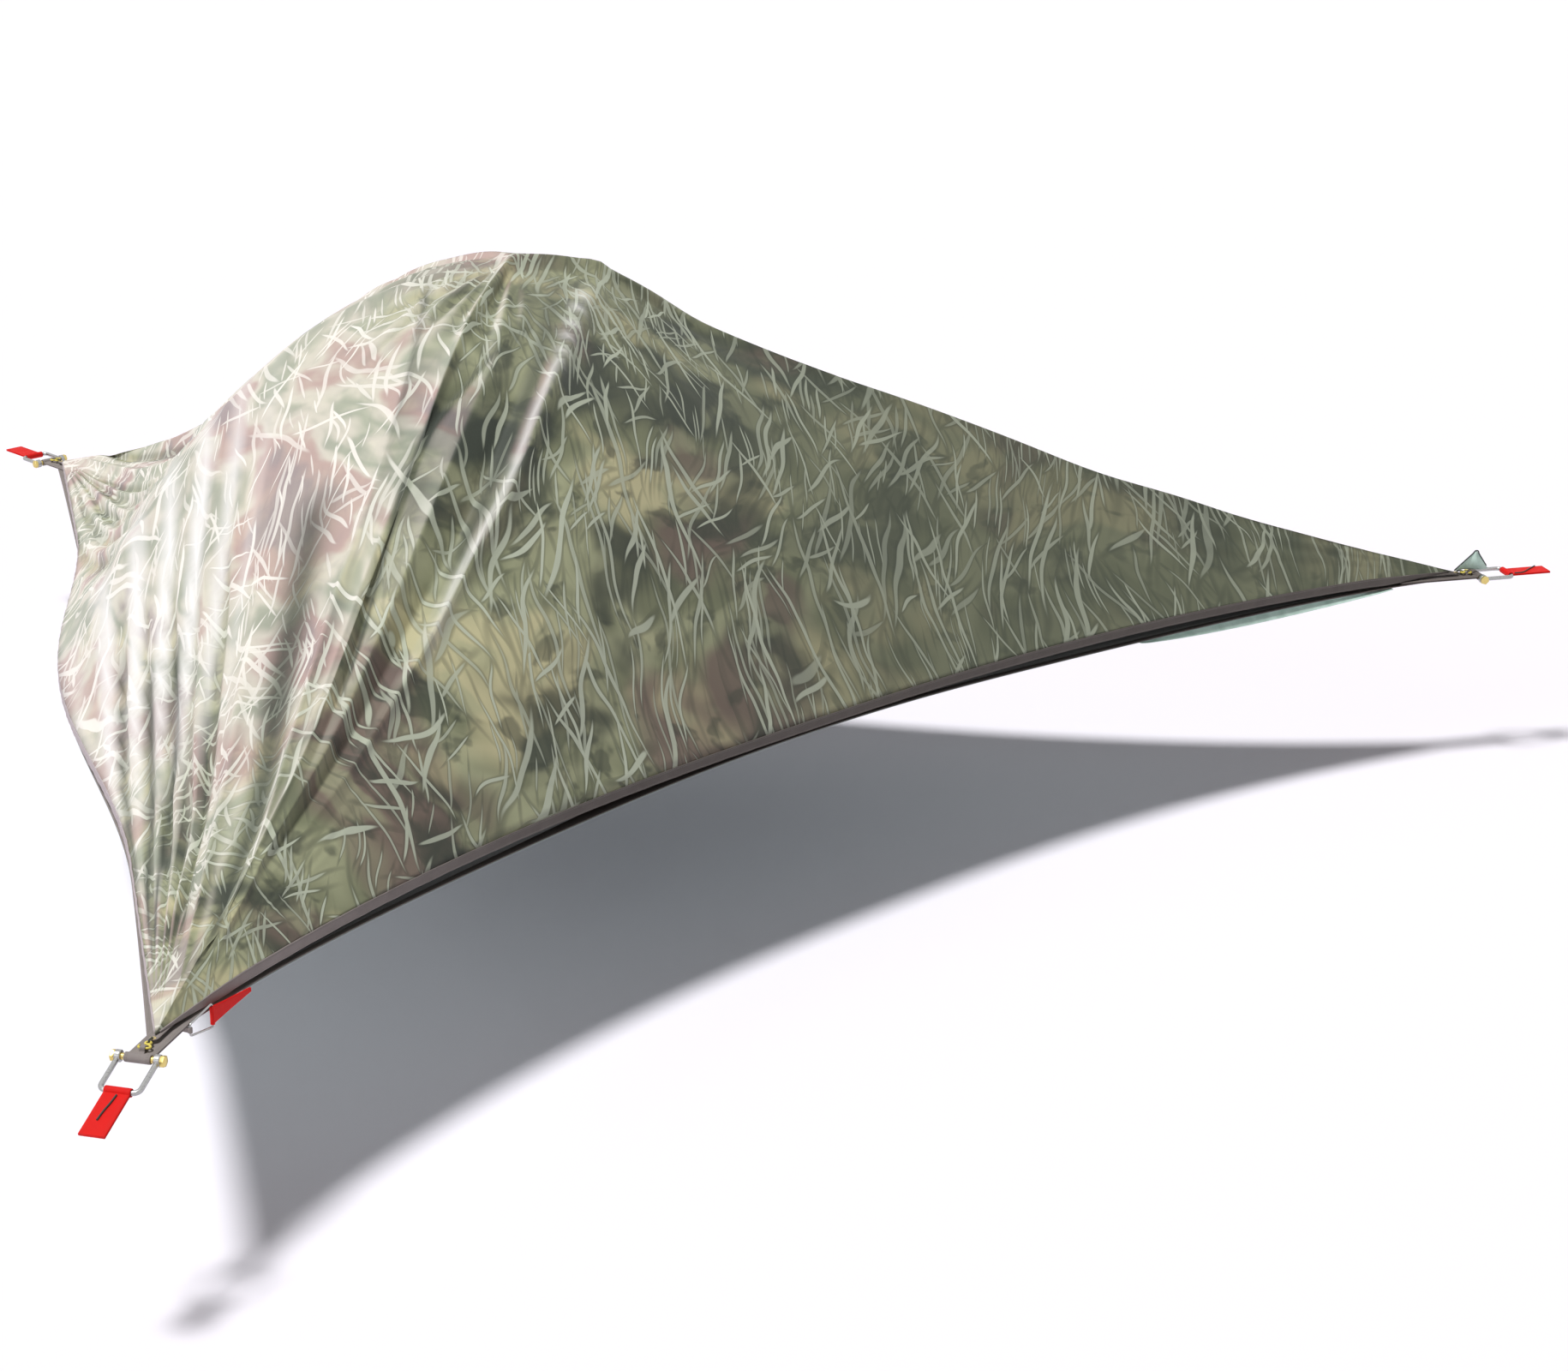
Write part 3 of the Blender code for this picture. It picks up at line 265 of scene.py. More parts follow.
def latheParts(profile, centre, axis, sides=40, corners=0, hollow=False):
    # a profile of (distance along, radius, share of corners) turned round an axis; with corners
    # its radius follows a polygon: r cos(pi/n) / cos(angle to the nearest flat's middle); a hollow
    # one's profile closes on itself
    along, radius, square = (np.array(column, float) for column in zip(*profile))
    axis = unit(np.array(axis, float))
    first = unit(np.cross(axis, [0.31, 0.17, 0.93]))
    second = np.cross(axis, first)
    turn = np.linspace(0, 2 * np.pi, sides, endpoint=False)
    flat = np.ones(sides)
    if corners:
        part = 2 * np.pi / corners
        flat = math.cos(part / 2) / np.cos((turn % part) - part / 2)
    reach = radius[:, None] * (1 + square[:, None] * (flat[None] - 1))
    ring = first[None] * np.cos(turn)[:, None] + second[None] * np.sin(turn)[:, None]
    points = centre + along[:, None, None] * axis + reach[..., None] * ring[None]
    uv = np.stack(np.broadcast_arrays(along[:, None], turn[None] * 0.01), -1)
    return points, gridFaces(len(profile), sides, True, not hollow, closeRows=hollow), uv


def addParts(name, parts, material, sharp=38, **kept):
    # several closed shapes in one piece: coincident points welded, every shell turned outward, and
    # edges over so many degrees kept sharp
    points, faces, uv, count = [], [], [], 0
    for shape, shapeFaces, shapeUv in parts:
        faces += [[i + count for i in face] for face in shapeFaces]
        points.append(shape.reshape(-1, 3))
        uv.append(shapeUv.reshape(-1, 2))
        count += len(points[-1])
    mesh = addPiece(name, np.concatenate(points), faces, material, uv=np.concatenate(uv), **kept).data
    bm = bmesh.new()
    bm.from_mesh(mesh)
    bmesh.ops.remove_doubles(bm, verts=bm.verts, dist=2e-5)
    bmesh.ops.recalc_face_normals(bm, faces=bm.faces)
    bm.to_mesh(mesh)
    bm.free()
    if sharp:
        mesh.set_sharp_from_angle(angle=math.radians(sharp))


def addBands(name, bands, material, **kept):
    # several bands in one piece, each a (left line, right line, thickness)
    addParts(name, [bandParts(*band) for band in bands], material, None, **kept)


def shellCloth(piece, thick, flat):
    # a thin wall below a surface; its cut size and the area of its faces are printed
    area = float(readAll(piece.data.polygons, "area").sum())
    shell = piece.modifiers.new("cloth", "SOLIDIFY")
    shell.thickness, shell.offset = thick, -1.0
    print(f"{piece.name}: cloth of {area:.2f} square metres in a cut of {flat[0]:.2f} by {flat[1]:.2f} m")


def addSheet(name, points, faces, material, thick, flat, restsOn, **kept):
    # one cloth, its faces turned so that most of them look up
    spots = points.reshape(-1, 3)
    first, second, third = (spots[[face[k] for face in faces]] for k in range(3))
    if np.cross(second - first, third - first)[:, 2].sum() < 0:
        faces = [face[::-1] for face in faces]
    shellCloth(addPiece(name, points, faces, material, **kept), thick, flat)


# Node helpers for the finishes; an input is a plain value or another node's output

def addNode(tree, kind, inputs=None, **settings):
    # one node with its settings and inputs
    made = tree.nodes.new(kind)
    for name, value in settings.items():
        setattr(made, name, value)
    for name, value in (inputs or {}).items():
        if isinstance(value, bpy.types.NodeSocket):
            tree.links.new(value, made.inputs[name])
        else:
            made.inputs[name].default_value = value
    return made


def treeOf(values):
    # the node tree of the first value that is a node's output
    return next(value.id_data for value in values if isinstance(value, bpy.types.NodeSocket))


def calc(operation, *values):
    # one step of arithmetic
    return addNode(treeOf(values), "ShaderNodeMath", dict(enumerate(values)), operation=operation).outputs[0]


def times(first, second):
    return calc("MULTIPLY", first, second)


def timesPlus(first, second, third):
    # first * second + third
    return calc("MULTIPLY_ADD", first, second, third)


def wave(value, period):
    # sin(2 pi value / period)
    return calc("SINE", times(value, 2 * math.pi / period))


def between(value, low, high):
    # 0 below low, 1 above high, smooth between
    return addNode(value.id_data, "ShaderNodeMapRange", {0: value, 1: low, 2: high},
                   interpolation_type="SMOOTHSTEP").outputs[0]


def mixed(amount, first, second):
    # first * (1 - amount) + second * amount, on colours
    first, second = ((*tone, 1.0) if isinstance(tone, tuple) else tone for tone in (first, second))
    return addNode(treeOf((amount, first, second)), "ShaderNodeMix", {0: amount, 6: first, 7: second},
                   data_type="RGBA").outputs[2]


def noise(vector, scale, detail=3.0, rough=0.5, distortion=0.0, out=0):
    # a fractal noise of a place
    return addNode(vector.id_data, "ShaderNodeTexNoise", {
        "Vector": vector, "Scale": scale, "Detail": detail, "Roughness": rough,
        "Distortion": distortion}).outputs[out]


def mapping(vector, scale=(1, 1, 1), turn=(0, 0, 0), move=(0, 0, 0)):
    # a place scaled, turned and moved
    return addNode(vector.id_data, "ShaderNodeMapping", {
        "Vector": vector, "Scale": scale, "Rotation": turn, "Location": move}).outputs[0]


def swayed(place, drift, amount):
    # place + amount * drift
    return addNode(place.id_data, "ShaderNodeVectorMath", {0: drift, 1: (amount,) * 3, 2: place},
                   operation="MULTIPLY_ADD").outputs[0]


def splitUp(vector):
    # a vector's three parts
    return addNode(vector.id_data, "ShaderNodeSeparateXYZ", {0: vector}).outputs


def ramp(value, stops):
    # colours at places of a value, eased between
    made = addNode(value.id_data, "ShaderNodeValToRGB", {0: value})
    made.color_ramp.interpolation = "EASE"
    while len(made.color_ramp.elements) < len(stops):
        made.color_ramp.elements.new(0.5)
    for element, (place, color) in zip(made.color_ramp.elements, stops):
        element.position, element.color = place, (*color, 1.0)
    return made.outputs[0]


def newFinish(name, roughness=0.6, metallic=0.0, **sockets):
    # a material and the outputs of its coordinates node
    material = bpy.data.materials.new(name)
    material.use_nodes = True
    shader = material.node_tree.nodes["Principled BSDF"]
    for socket, value in {"Roughness": roughness, "Metallic": metallic, **sockets}.items():
        shader.inputs[socket.replace("_", " ")].default_value = value
    return material, addNode(material.node_tree, "ShaderNodeTexCoord").outputs


def finished(material, color, height, strength, distance, **more):
    # joins the colour, the height and anything more of a finish to its shader
    tree = material.node_tree
    bump = addNode(tree, "ShaderNodeBump", {"Height": height, "Strength": strength, "Distance": distance})
    for name, value in {"Base Color": color, "Normal": bump.outputs[0], **more}.items():
        tree.links.new(value, tree.nodes["Principled BSDF"].inputs[name])
    return material


# Fly cloth: a plain soft camouflage of drifting blotches, with thin pale grass strokes over it
flyCloth = {
    "dark": (0.042, 0.050, 0.038), "deep": (0.085, 0.095, 0.066), "moss": (0.190, 0.203, 0.122),
    "sage": (0.350, 0.362, 0.225), "sand": (0.560, 0.520, 0.310), "brown": (0.165, 0.115, 0.100),
    "stroke": (0.520, 0.560, 0.440), "pale": (0.780, 0.730, 0.630), "mauve": (0.420, 0.345, 0.350),
    "rose": (0.600, 0.435, 0.400), "fern": (0.440, 0.465, 0.375), "litStroke": (0.93, 0.89, 0.82),
    "glare": (0.93, 0.91, 0.90), "litShare": 0.80, "roughness": 0.50,
    # painted shade: where the cloth darkens toward corner B, the side turned from the lamps, by how much,
    # and the strokes' share of cover there
    "darkening": (-0.1, 0.75), "darkShare": 0.72, "cover": 0.90, "coverLost": 0.36, "shadeShare": 0.42,
    # base tones by the height of the noise: plain, and the paler ones of the painted light on the sunny side
    "base": ((0.34, "dark"), (0.44, "moss"), (0.53, "sage"), (0.61, "moss"), (0.70, "deep")),
    "litTones": ((0.33, "mauve"), (0.42, "rose"), (0.49, "pale"), (0.56, "fern"), (0.64, "pale"),
                 (0.72, "mauve")),
    # blotches from the largest to the smallest: tone, scale, move, from and to of the noise, share
    "blotches": (("brown", 1.9, (3.1, 7.7, 1.3), 0.53, 0.64, 0.85),
                 ("sand", 2.4, (9.1, 2.4, 5.0), 0.53, 0.64, 0.88),
                 ("dark", 3.1, (5.5, 1.2, 8.8), 0.55, 0.66, 0.85),
                 ("sage", 6.5, (2.2, 9.4, 4.1), 0.54, 0.66, 0.55),
                 ("dark", 9.5, (8.2, 3.9, 6.4), 0.58, 0.66, 0.60)),
    # grass blades: degrees in plan, cells per metre across and along, blade's reach, share of cells shown
    "grass": ((24.0, 54.0, 2.9, 0.32, 0.50), (-20.0, 46.0, 2.3, 0.30, 0.50), (50.0, 62.0, 3.6, 0.28, 0.36),
              (-54.0, 54.0, 3.0, 0.27, 0.34), (4.0, 84.0, 5.5, 0.32, 0.46)),
    # a blade and its shade end between these shares of its reach
    "bladeEnd": (0.72, 1.0), "shadeEnd": (0.9, 2.2),
    # how far the pattern drifts in metres, and the scales of drift, base, tint, crumples and weave
    "drift": 0.45, "bladeDrift": 0.30, "driftScale": 1.4, "baseScale": 1.7, "tintScale": 2.3,
    "crumpleScale": 20.0, "weaveScale": 900.0, "weaveShare": 0.04, "bump": (0.40, 0.004),
}


def grassBlades(place, spec):
    # plan coordinates turned and stretched, so each cell is long and thin; a blade is where the
    # distance to the cell's point is under reach * (the cell's own draw); returns it and its shade
    turn, across, along, reach, cover = spec
    cell = mapping(mapping(place, turn=(0, 0, math.radians(turn))), (across, along, 1.0),
                   move=(turn, 7.0, 0.0))
    cells = addNode(place.id_data, "ShaderNodeTexVoronoi", {"Vector": cell, "Scale": 1.0, "Randomness": 0.9},
                    voronoi_dimensions="2D").outputs
    draw = addNode(place.id_data, "ShaderNodeSeparateColor", {0: cells["Color"]}).outputs
    shown = calc("LESS_THAN", draw[0], cover)
    away = calc("DIVIDE", cells["Distance"], times(timesPlus(draw[1], 0.6, 0.5), reach))
    blade, shade = (times(calc("SUBTRACT", 1.0, between(away, *flyCloth[end])), shown)
                    for end in ("bladeEnd", "shadeEnd"))
    return times(blade, timesPlus(draw[2], 0.5, 0.5)), shade


def makeFlyCloth():
    # each tone is mixed over the last by its own share: blotches, painted shade toward corner B, blades,
    # painted light on the sunny side, painted shade along creases and painted glare; the last three are kept
    # on the cloth as attributes
    spec = flyCloth
    material, where = newFinish("fly_camouflage", spec["roughness"], Specular_IOR_Level=0.22)
    tree, place = material.node_tree, where["Object"]
    drift = mapping(noise(place, spec["driftScale"], out=1), move=(-0.5, -0.5, -0.5))
    moved, bent = swayed(place, drift, spec["drift"]), swayed(place, drift, spec["bladeDrift"])
    color = ramp(noise(mapping(moved, (1.0, 1.6, 1.5), (0.2, 0.3, 0.6)), spec["baseScale"]),
                 [(at, spec[tone]) for at, tone in spec["base"]])
    for tone, scale, move, low, high, share in spec["blotches"]:
        spot = between(noise(mapping(moved, (1, 1.5, 1.3), move=move), scale, 2.5), low, high)
        color = mixed(times(spot, share), color, spec[tone])
    # painted shade: the cloth darkens toward corner B, the side turned from the lamps, and loses strokes there
    far = between(splitUp(place)[0], *spec["darkening"])
    color = mixed(times(far, spec["darkShare"]), color, spec["deep"])
    blades = [grassBlades(bent, grass) for grass in spec["grass"]]
    line, shade = blades[0]
    for blade, beside in blades[1:]:
        line, shade = calc("MAXIMUM", line, blade), calc("MAXIMUM", shade, beside)
    color = mixed(times(shade, spec["shadeShare"]), color, spec["dark"])
    paintedLight, creaseShade, glare = (addNode(tree, "ShaderNodeAttribute", attribute_name=name).outputs["Fac"]
                             for name in ("paintedLight", "creaseShade", "glare"))
    # painted light: the sunny side takes paler tones and paler strokes
    tint = ramp(noise(mapping(moved, (1.0, 1.0, 2.2), (0.3, 0.2, 0.4)), spec["tintScale"], 3.5),
                [(at, spec[tone]) for at, tone in spec["litTones"]])
    color = mixed(times(paintedLight, spec["litShare"]), color, tint)
    stroke = mixed(paintedLight, spec["stroke"], spec["litStroke"])
    color = mixed(times(line, timesPlus(far, -spec["coverLost"], spec["cover"])), color, stroke)
    # painted shade along the crease lines, then painted glare along the bright lines
    color = mixed(glare, mixed(creaseShade, color, spec["dark"]), spec["glare"])
    crumple = timesPlus(noise(place, spec["weaveScale"], 1.0), spec["weaveShare"],
                        noise(place, spec["crumpleScale"], 5.0, 0.6, 0.4))
    return finished(material, color, crumple, *spec["bump"])


# Ribs and dust of the webbing, its stitches, and where its painted light, a paler tone on the sunny left
# side, fades out toward the tent's middle
woven = {"cordShare": 1.4, "ribTone": 0.18, "dustScale": 35.0, "dustTone": 0.70, "base": 0.15,
         "bump": (0.5, 0.0004)}
stitching = {"step": 0.0042, "shown": 0.68, "half": 0.0005, "raised": 2.0}
# painted light on the webbing: from and to in x where its paler sunny-side tone fades, and its share
wear = {"from": -1.15, "to": -0.1, "share": 0.80}


def makeWebbing(name, light, dark, rib, stitch, rows, roughness=0.8, litTone=None):
    # ribs along and across the piece's own UV map in metres, with rows of stitches beside its edges;
    # a webbing given a lit tone pales toward the tent's sunny left side, which is painted light
    material, where = newFinish(name, roughness, Specular_IOR_Level=0.20)
    u, v = splitUp(where["UV"])[:2]
    height = times(wave(u, rib), wave(v, rib * woven["cordShare"]))
    dust = noise(where["Object"], woven["dustScale"], 5.0, 0.65)
    shade = timesPlus(height, woven["ribTone"], timesPlus(dust, woven["dustTone"], woven["base"]))
    color = mixed(shade, dark, light)
    # painted light: the tone pales toward the sunny left side
    if litTone:
        fade = between(splitUp(where["Object"])[0], wear["from"], wear["to"])
        share = timesPlus(fade, -wear["share"], wear["share"])
        color = mixed(times(share, timesPlus(shade, 0.5, 0.6)), color, litTone)
    for row in rows:
        near = calc("ABSOLUTE", calc("SUBTRACT", calc("ABSOLUTE", v), row))
        dash = calc("LESS_THAN", calc("FRACT", calc("DIVIDE", u, stitching["step"])), stitching["shown"])
        thread = times(calc("LESS_THAN", near, stitching["half"]), dash)
        color = mixed(thread, color, stitch)
        height = timesPlus(thread, stitching["raised"], height)
    return finished(material, color, height, *woven["bump"])


coated = {"perMetre": 160.0, "line": 0.12, "lineTone": 0.12, "lineHeight": 0.05, "crumple": 14.0,
          "bump": (0.3, 0.006)}


def makeCloth(name, light, dark, roughness=0.6, scale=3.0):
    # coated cloth: slow tone drift, a fine square ripstop grid and soft crumples
    material, where = newFinish(name, roughness, Sheen_Weight=0.1)
    place = where["Object"]
    color = mixed(between(noise(place, scale, 5.0, 0.6), 0.3, 0.7), dark, light)
    lines = calc("MAXIMUM", *(calc("LESS_THAN", calc("FRACT", times(part, coated["perMetre"])), coated["line"])
                              for part in splitUp(place)[:2]))
    color = mixed(times(lines, coated["lineTone"]), color, light)
    height = timesPlus(lines, coated["lineHeight"], noise(place, coated["crumple"], 5.0, 0.6, 0.5))
    return finished(material, color, height, *coated["bump"])


brushed = {"scale": 240.0, "spread": 0.22, "bump": (0.15, 0.0003)}


def makeMetal(name, light, dark, roughness):
    # brushed metal: tone and roughness follow one fine noise
    material, where = newFinish(name, roughness, 1.0)
    fine = noise(where["Object"], brushed["scale"], 4.0, 0.6)
    return finished(material, mixed(fine, dark, light), fine, *brushed["bump"],
                    Roughness=timesPlus(fine, brushed["spread"], roughness - brushed["spread"] / 2))


moulded = {"wear": 60.0, "grain": 400.0, "bump": (0.2, 0.0003)}


def makePlastic(name, light, dark, roughness):
    # moulded plastic with a fine grain and faint wear in its tone
    material, where = newFinish(name, roughness)
    tone = mixed(between(noise(where["Object"], moulded["wear"], 4.0, 0.6), 0.35, 0.7), dark, light)
    return finished(material, tone, noise(where["Object"], moulded["grain"], 2.0), *moulded["bump"])


net = {"period": 0.0016, "hole": (0.018, 0.02, 0.018), "thread": (0.075, 0.08, 0.075),
       "dust": (0.12, 0.125, 0.115), "dustShare": 0.25, "bump": (0.4, 0.0003)}


def makeNet():
    # insect mesh: near black threads, a faint lattice in tone and height
    material, where = newFinish("insect_net", 0.85)
    waves = [wave(part, net["period"]) for part in splitUp(where["Object"])]
    lattice = calc("MAXIMUM", calc("MAXIMUM", *waves[:2]), waves[2])
    color = mixed(between(lattice, -0.2, 1.0), net["hole"], net["thread"])
    color = mixed(times(noise(where["Object"], 6.0), net["dustShare"]), color, net["dust"])
    return finished(material, color, lattice, *net["bump"])


braided = {"period": 0.0022, "bump": (0.5, 0.0004)}


def makeCord(name, light, dark):
    # braided cover: two crossing slants of the UV map
    material, where = newFinish(name, 0.8)
    u, v = splitUp(where["UV"])[:2]
    braid = times(*(wave(timesPlus(v, way, u), braided["period"]) for way in (1.0, -1.0)))
    return finished(material, mixed(timesPlus(braid, 0.5, 0.5), dark, light), braid, *braided["bump"])


flyFinish = makeFlyCloth()
# The hem and load webbing pale toward the sunny left side, painted light; the rear hem tape takes a paler copy
# of the hem tape, painted light on its sunny side
hemFinish = makeWebbing("hem_tape", (0.160, 0.141, 0.128), (0.088, 0.077, 0.070), 0.0016, (0.22, 0.20, 0.18),
                        (0.0075,), litTone=(0.390, 0.340, 0.325))
litTapeFinish = makeWebbing("lit_tape", (0.620, 0.545, 0.555), (0.430, 0.375, 0.390), 0.0016,
                          (0.46, 0.42, 0.40), (0.0075,))
loadFinish = makeWebbing("load_webbing", (0.190, 0.162, 0.150), (0.103, 0.087, 0.080), 0.0024,
                         (0.21, 0.19, 0.17), (0.018, 0.021), litTone=(0.360, 0.320, 0.305))
redFinish = makeWebbing("red_webbing", (0.86, 0.010, 0.006), (0.60, 0.005, 0.004), 0.0024,
                        (0.66, 0.02, 0.015), (0.018, 0.021), 0.6)
floorFinish = makeCloth("floor_cloth", (0.42, 0.50, 0.47), (0.33, 0.40, 0.38))
hatchFinish = makeCloth("hatch_cloth", (0.31, 0.37, 0.35), (0.24, 0.30, 0.28))
sheerFinish = makeCloth("corner_cloth", (0.60, 0.76, 0.68), (0.44, 0.60, 0.52), 0.5, 30.0)
netFinish = makeNet()
poleFinish = makeMetal("pole_aluminium", (0.60, 0.62, 0.63), (0.45, 0.47, 0.48), 0.35)
steelFinish = makeMetal("stainless_steel", (0.50, 0.50, 0.49), (0.30, 0.30, 0.30), 0.30)
brassFinish = makeMetal("plated_brass", (0.80, 0.64, 0.24), (0.58, 0.45, 0.16), 0.32)
yellowFinish = makePlastic("yellow_plastic", (0.84, 0.70, 0.12), (0.66, 0.54, 0.09), 0.42)
blackFinish = makePlastic("black_plastic", (0.045, 0.045, 0.045), (0.025, 0.025, 0.025), 0.5)
cordFinish = makeCord("dark_cord", (0.075, 0.085, 0.075), (0.02, 0.024, 0.02))
print("finishes made")

# Poles under the covers: level of the foot, plan distance to it and level at the crossing
poles = {"side": (-0.00530, 0.9634, 0.8870), "rear": (0.00626, 1.0248, 0.8990),
         "front": (-0.03548, 0.7200, 0.8990)}
poleLift = 0.6                                           # share of the way to a corner that a pole lifts


def bentLine(start, step=0.004):
    # a springy rod from its foot to where it runs level: turn' = -height
    turn, line = start, [(0.0, 0.0)]
    while turn > 0:
        x, z = line[-1]
        turn -= z * step
        line.append((x + math.cos(turn) * step, z + math.sin(turn) * step))
    return np.array(line)


def bentHeights(foot, span, top):
    # the rod whose start gives rise / span, found by halving, then scaled to both and read at
    # sixteenths of the span from the crossing, to tenths of a millimetre
    low, high = math.radians(20), math.radians(150)
    for _ in range(40):
        line = bentLine((low + high) / 2)
        if line[-1, 1] / line[-1, 0] < (top - foot) / span:
            low = (low + high) / 2
        else:
            high = (low + high) / 2
    x, z = (line / line[-1]).T
    return np.round((top - foot) * np.interp(np.linspace(1, 0, 17), x, z), 4)


poleHeights = {pole: bentHeights(*sizes) for pole, sizes in poles.items()}

# Ridges from the crown to a corner: share of the way, and share of the rise that is left there
ridges = {"share": (0, .05, .10, .16, .22, .30, .38, .46, .55, .65, .76, .88, 1),
          "side": (1, .985, .957, .912, .845, .735, .622, .512, .388, .263, .165, .080, 0),
          "front": (1, .982, .932, .835, .757, .671, .581, .498, .396, .296, .195, .094, 0)}
cornerHem = {"a": ("front", 0.0), "b": ("front", 1.0), "c": ("back", 1.0)}
sweep = np.linspace(0, 1, 4001)
frontFoot = float(np.interp(plan["crownX"], edgeLine("front", sweep)[:, 0], sweep))
footShare = {"front": frontFoot, "back": 1 - frontFoot, "rear": 0.5}
patches = (("a", "front", "side"), ("b", "front", "side"), ("b", "back", "side"),
           ("c", "back", "side"), ("c", "rear", "rear"), ("a", "rear", "rear"))
hem = {"setback": 0.030, "inset": 0.019, "tipLevel": 0.0138, "level": 0.024, "tipLength": 0.24}
canopyHemAt = {"setback": 0.280, "inset": 0.010, "above": 0.00315}


def flyHem(edge, share):
    # the fly's lower edge: just outside the floor's, sinking to its tips over the last stretch
    share = np.asarray(share, float)
    flat = edgeLine(edge, share, cornerRadius - hem["setback"], hem["inset"])
    part = np.minimum(1, fromEnd(share) / hem["tipLength"])
    return lifted(flat, hem["tipLevel"] + (hem["level"] - hem["tipLevel"]) * part)


def canopyHem(edge, share):
    # the canopy's lower edge: inside the floor's edge, stopping short of the corners
    share = np.asarray(share, float)
    start, foot = canopyHemAt["setback"] / plan["span"], footShare[edge]
    kept = np.where(share < foot, start + (foot - start) * share / foot,
                    foot + (1 - start - foot) * (share - foot) / (1 - foot))
    flat = edgeLine(edge, kept) - edgeNormal(edge, kept) * canopyHemAt["inset"]
    for key, end in zip(edgeEnds[edge], (0.0, 1.0)):
        corner = outward(key) * (cornerRadius - canopyHemAt["setback"])
        flat = np.where((share == end)[..., None], corner, flat)
    return lifted(flat, edgeLevel(kept) + canopyHemAt["above"])


def heightOver(pole, distance, standoff):
    # height of cloth standing off a pole, at a plan distance from the crossing
    foot, span, _ = poles[pole]
    share = np.asarray(distance) / (span + standoff)
    over = round(foot, 4) + smoothRead(np.linspace(0, 1, 17), poleHeights[pole], share) + standoff
    return np.where(share <= 1 + standoff / span, over, 0.0)


def coverPoints(cover, patch, across, down):
    # ridge point + down * (hem point - ridge point), lifted over the pole near its line
    key, edge, pole = patch
    corner = cover["hem"](*cornerHem[key])
    flat = crown + across[..., None] * (corner[:2] - crown)
    left = smoothRead(ridges["share"], ridges["front" if key == "b" else "side"], across)
    height = corner[2] + (cover["rise"] - corner[2]) * np.clip(left, 0, 1) ** cover["slack"]
    if key == "b":
        reach = np.linalg.norm(corner[:2] - crown)
        height = np.maximum(height, heightOver("front", reach * across, cover["standoff"]))
    top = lifted(flat, height)
    end = 0.0 if edgeEnds[edge][0] == key else 1.0
    low = cover["hem"](edge, footShare[edge] + (end - footShare[edge]) * across)
    points = top + down[..., None] * (low - top)
    foot = cover["hem"](edge, footShare[edge])
    straight = cover["rise"] + (foot[2] - cover["rise"]) * down
    lift = heightOver(pole, down * np.linalg.norm(foot[:2] - crown), cover["standoff"]) - straight
    points[..., 2] += np.maximum(lift, 0) * np.maximum(0, 1 - across / poleLift) ** 2
    return points


def relaxed(points, edges, fixed, rounds):
    # each free point moves halfway to the middle of its neighbours, several times over
    count = np.bincount(edges.ravel(), minlength=len(points)).astype(float)[:, None]
    ends = np.concatenate([edges, edges[:, ::-1]])
    for _ in range(rounds):
        total = np.stack([np.bincount(ends[:, 0], column[ends[:, 1]], len(points)) for column in points.T], -1)
        points = np.where(fixed[:, None], points, (points + total / count) / 2)
    return points


def coverMesh(cover, skip=None):
    # six grids welded at their ridges, pole lines and the crown, then relaxed; returns points,
    # faces and which faces lie in the part of one grid that is to be left out
    across, down = np.meshgrid(np.linspace(0, 1, cover["steps"][0] + 1),
                               np.linspace(0, 1, cover["steps"][1] + 1) ** cover["focus"], indexing="ij")
    points, faces, doors = [], [], []
    for number, patch in enumerate(patches):
        points.append(coverPoints(cover, patch, across, down).reshape(-1, 3))
        faces += gridFaces(*across.shape, first=number * across.size)
        inside = np.zeros((across.shape[0] - 1, across.shape[1] - 1), bool)
        if skip and patch == skip["patch"]:
            inside[:] = True
            for grid, (low, high) in ((across, skip["across"]), (down, skip["down"])):
                middle = (grid[:-1, :-1] + grid[1:, 1:]) / 2
                inside &= (low < middle) & (middle < high)
        doors.append(inside.ravel())
    mesh = bpy.data.meshes.new("grids")
    mesh.from_pydata(np.concatenate(points).tolist(), [], faces)
    doors = np.concatenate(doors).astype(np.int32)
    mesh.attributes.new("door", "INT", "FACE").data.foreach_set("value", doors)
    bm = bmesh.new()
    bm.from_mesh(mesh)
    bmesh.ops.remove_doubles(bm, verts=bm.verts, dist=2e-4)
    bmesh.ops.dissolve_degenerate(bm, edges=bm.edges, dist=1e-6)
    bmesh.ops.recalc_face_normals(bm, faces=bm.faces)
    if sum(face.normal.z for face in bm.faces) < 0:
        bmesh.ops.reverse_faces(bm, faces=bm.faces)
    bm.to_mesh(mesh)
    bm.free()
    edges = readAll(mesh.edges, "vertices", 2, np.int32)
    uses = np.bincount(readAll(mesh.loops, "edge_index", kind=np.int32), minlength=len(edges))
    fixed = np.zeros(len(mesh.vertices), bool)
    fixed[edges[uses == 1].ravel()] = True
    inDoor = readAll(mesh.attributes["door"].data, "value", kind=np.int32).astype(bool)
    faces = [tuple(face.vertices) for face in mesh.polygons]
    points = relaxed(readAll(mesh.vertices, "co", 3), edges, fixed, cover["relax"])
    return points, faces, inDoor


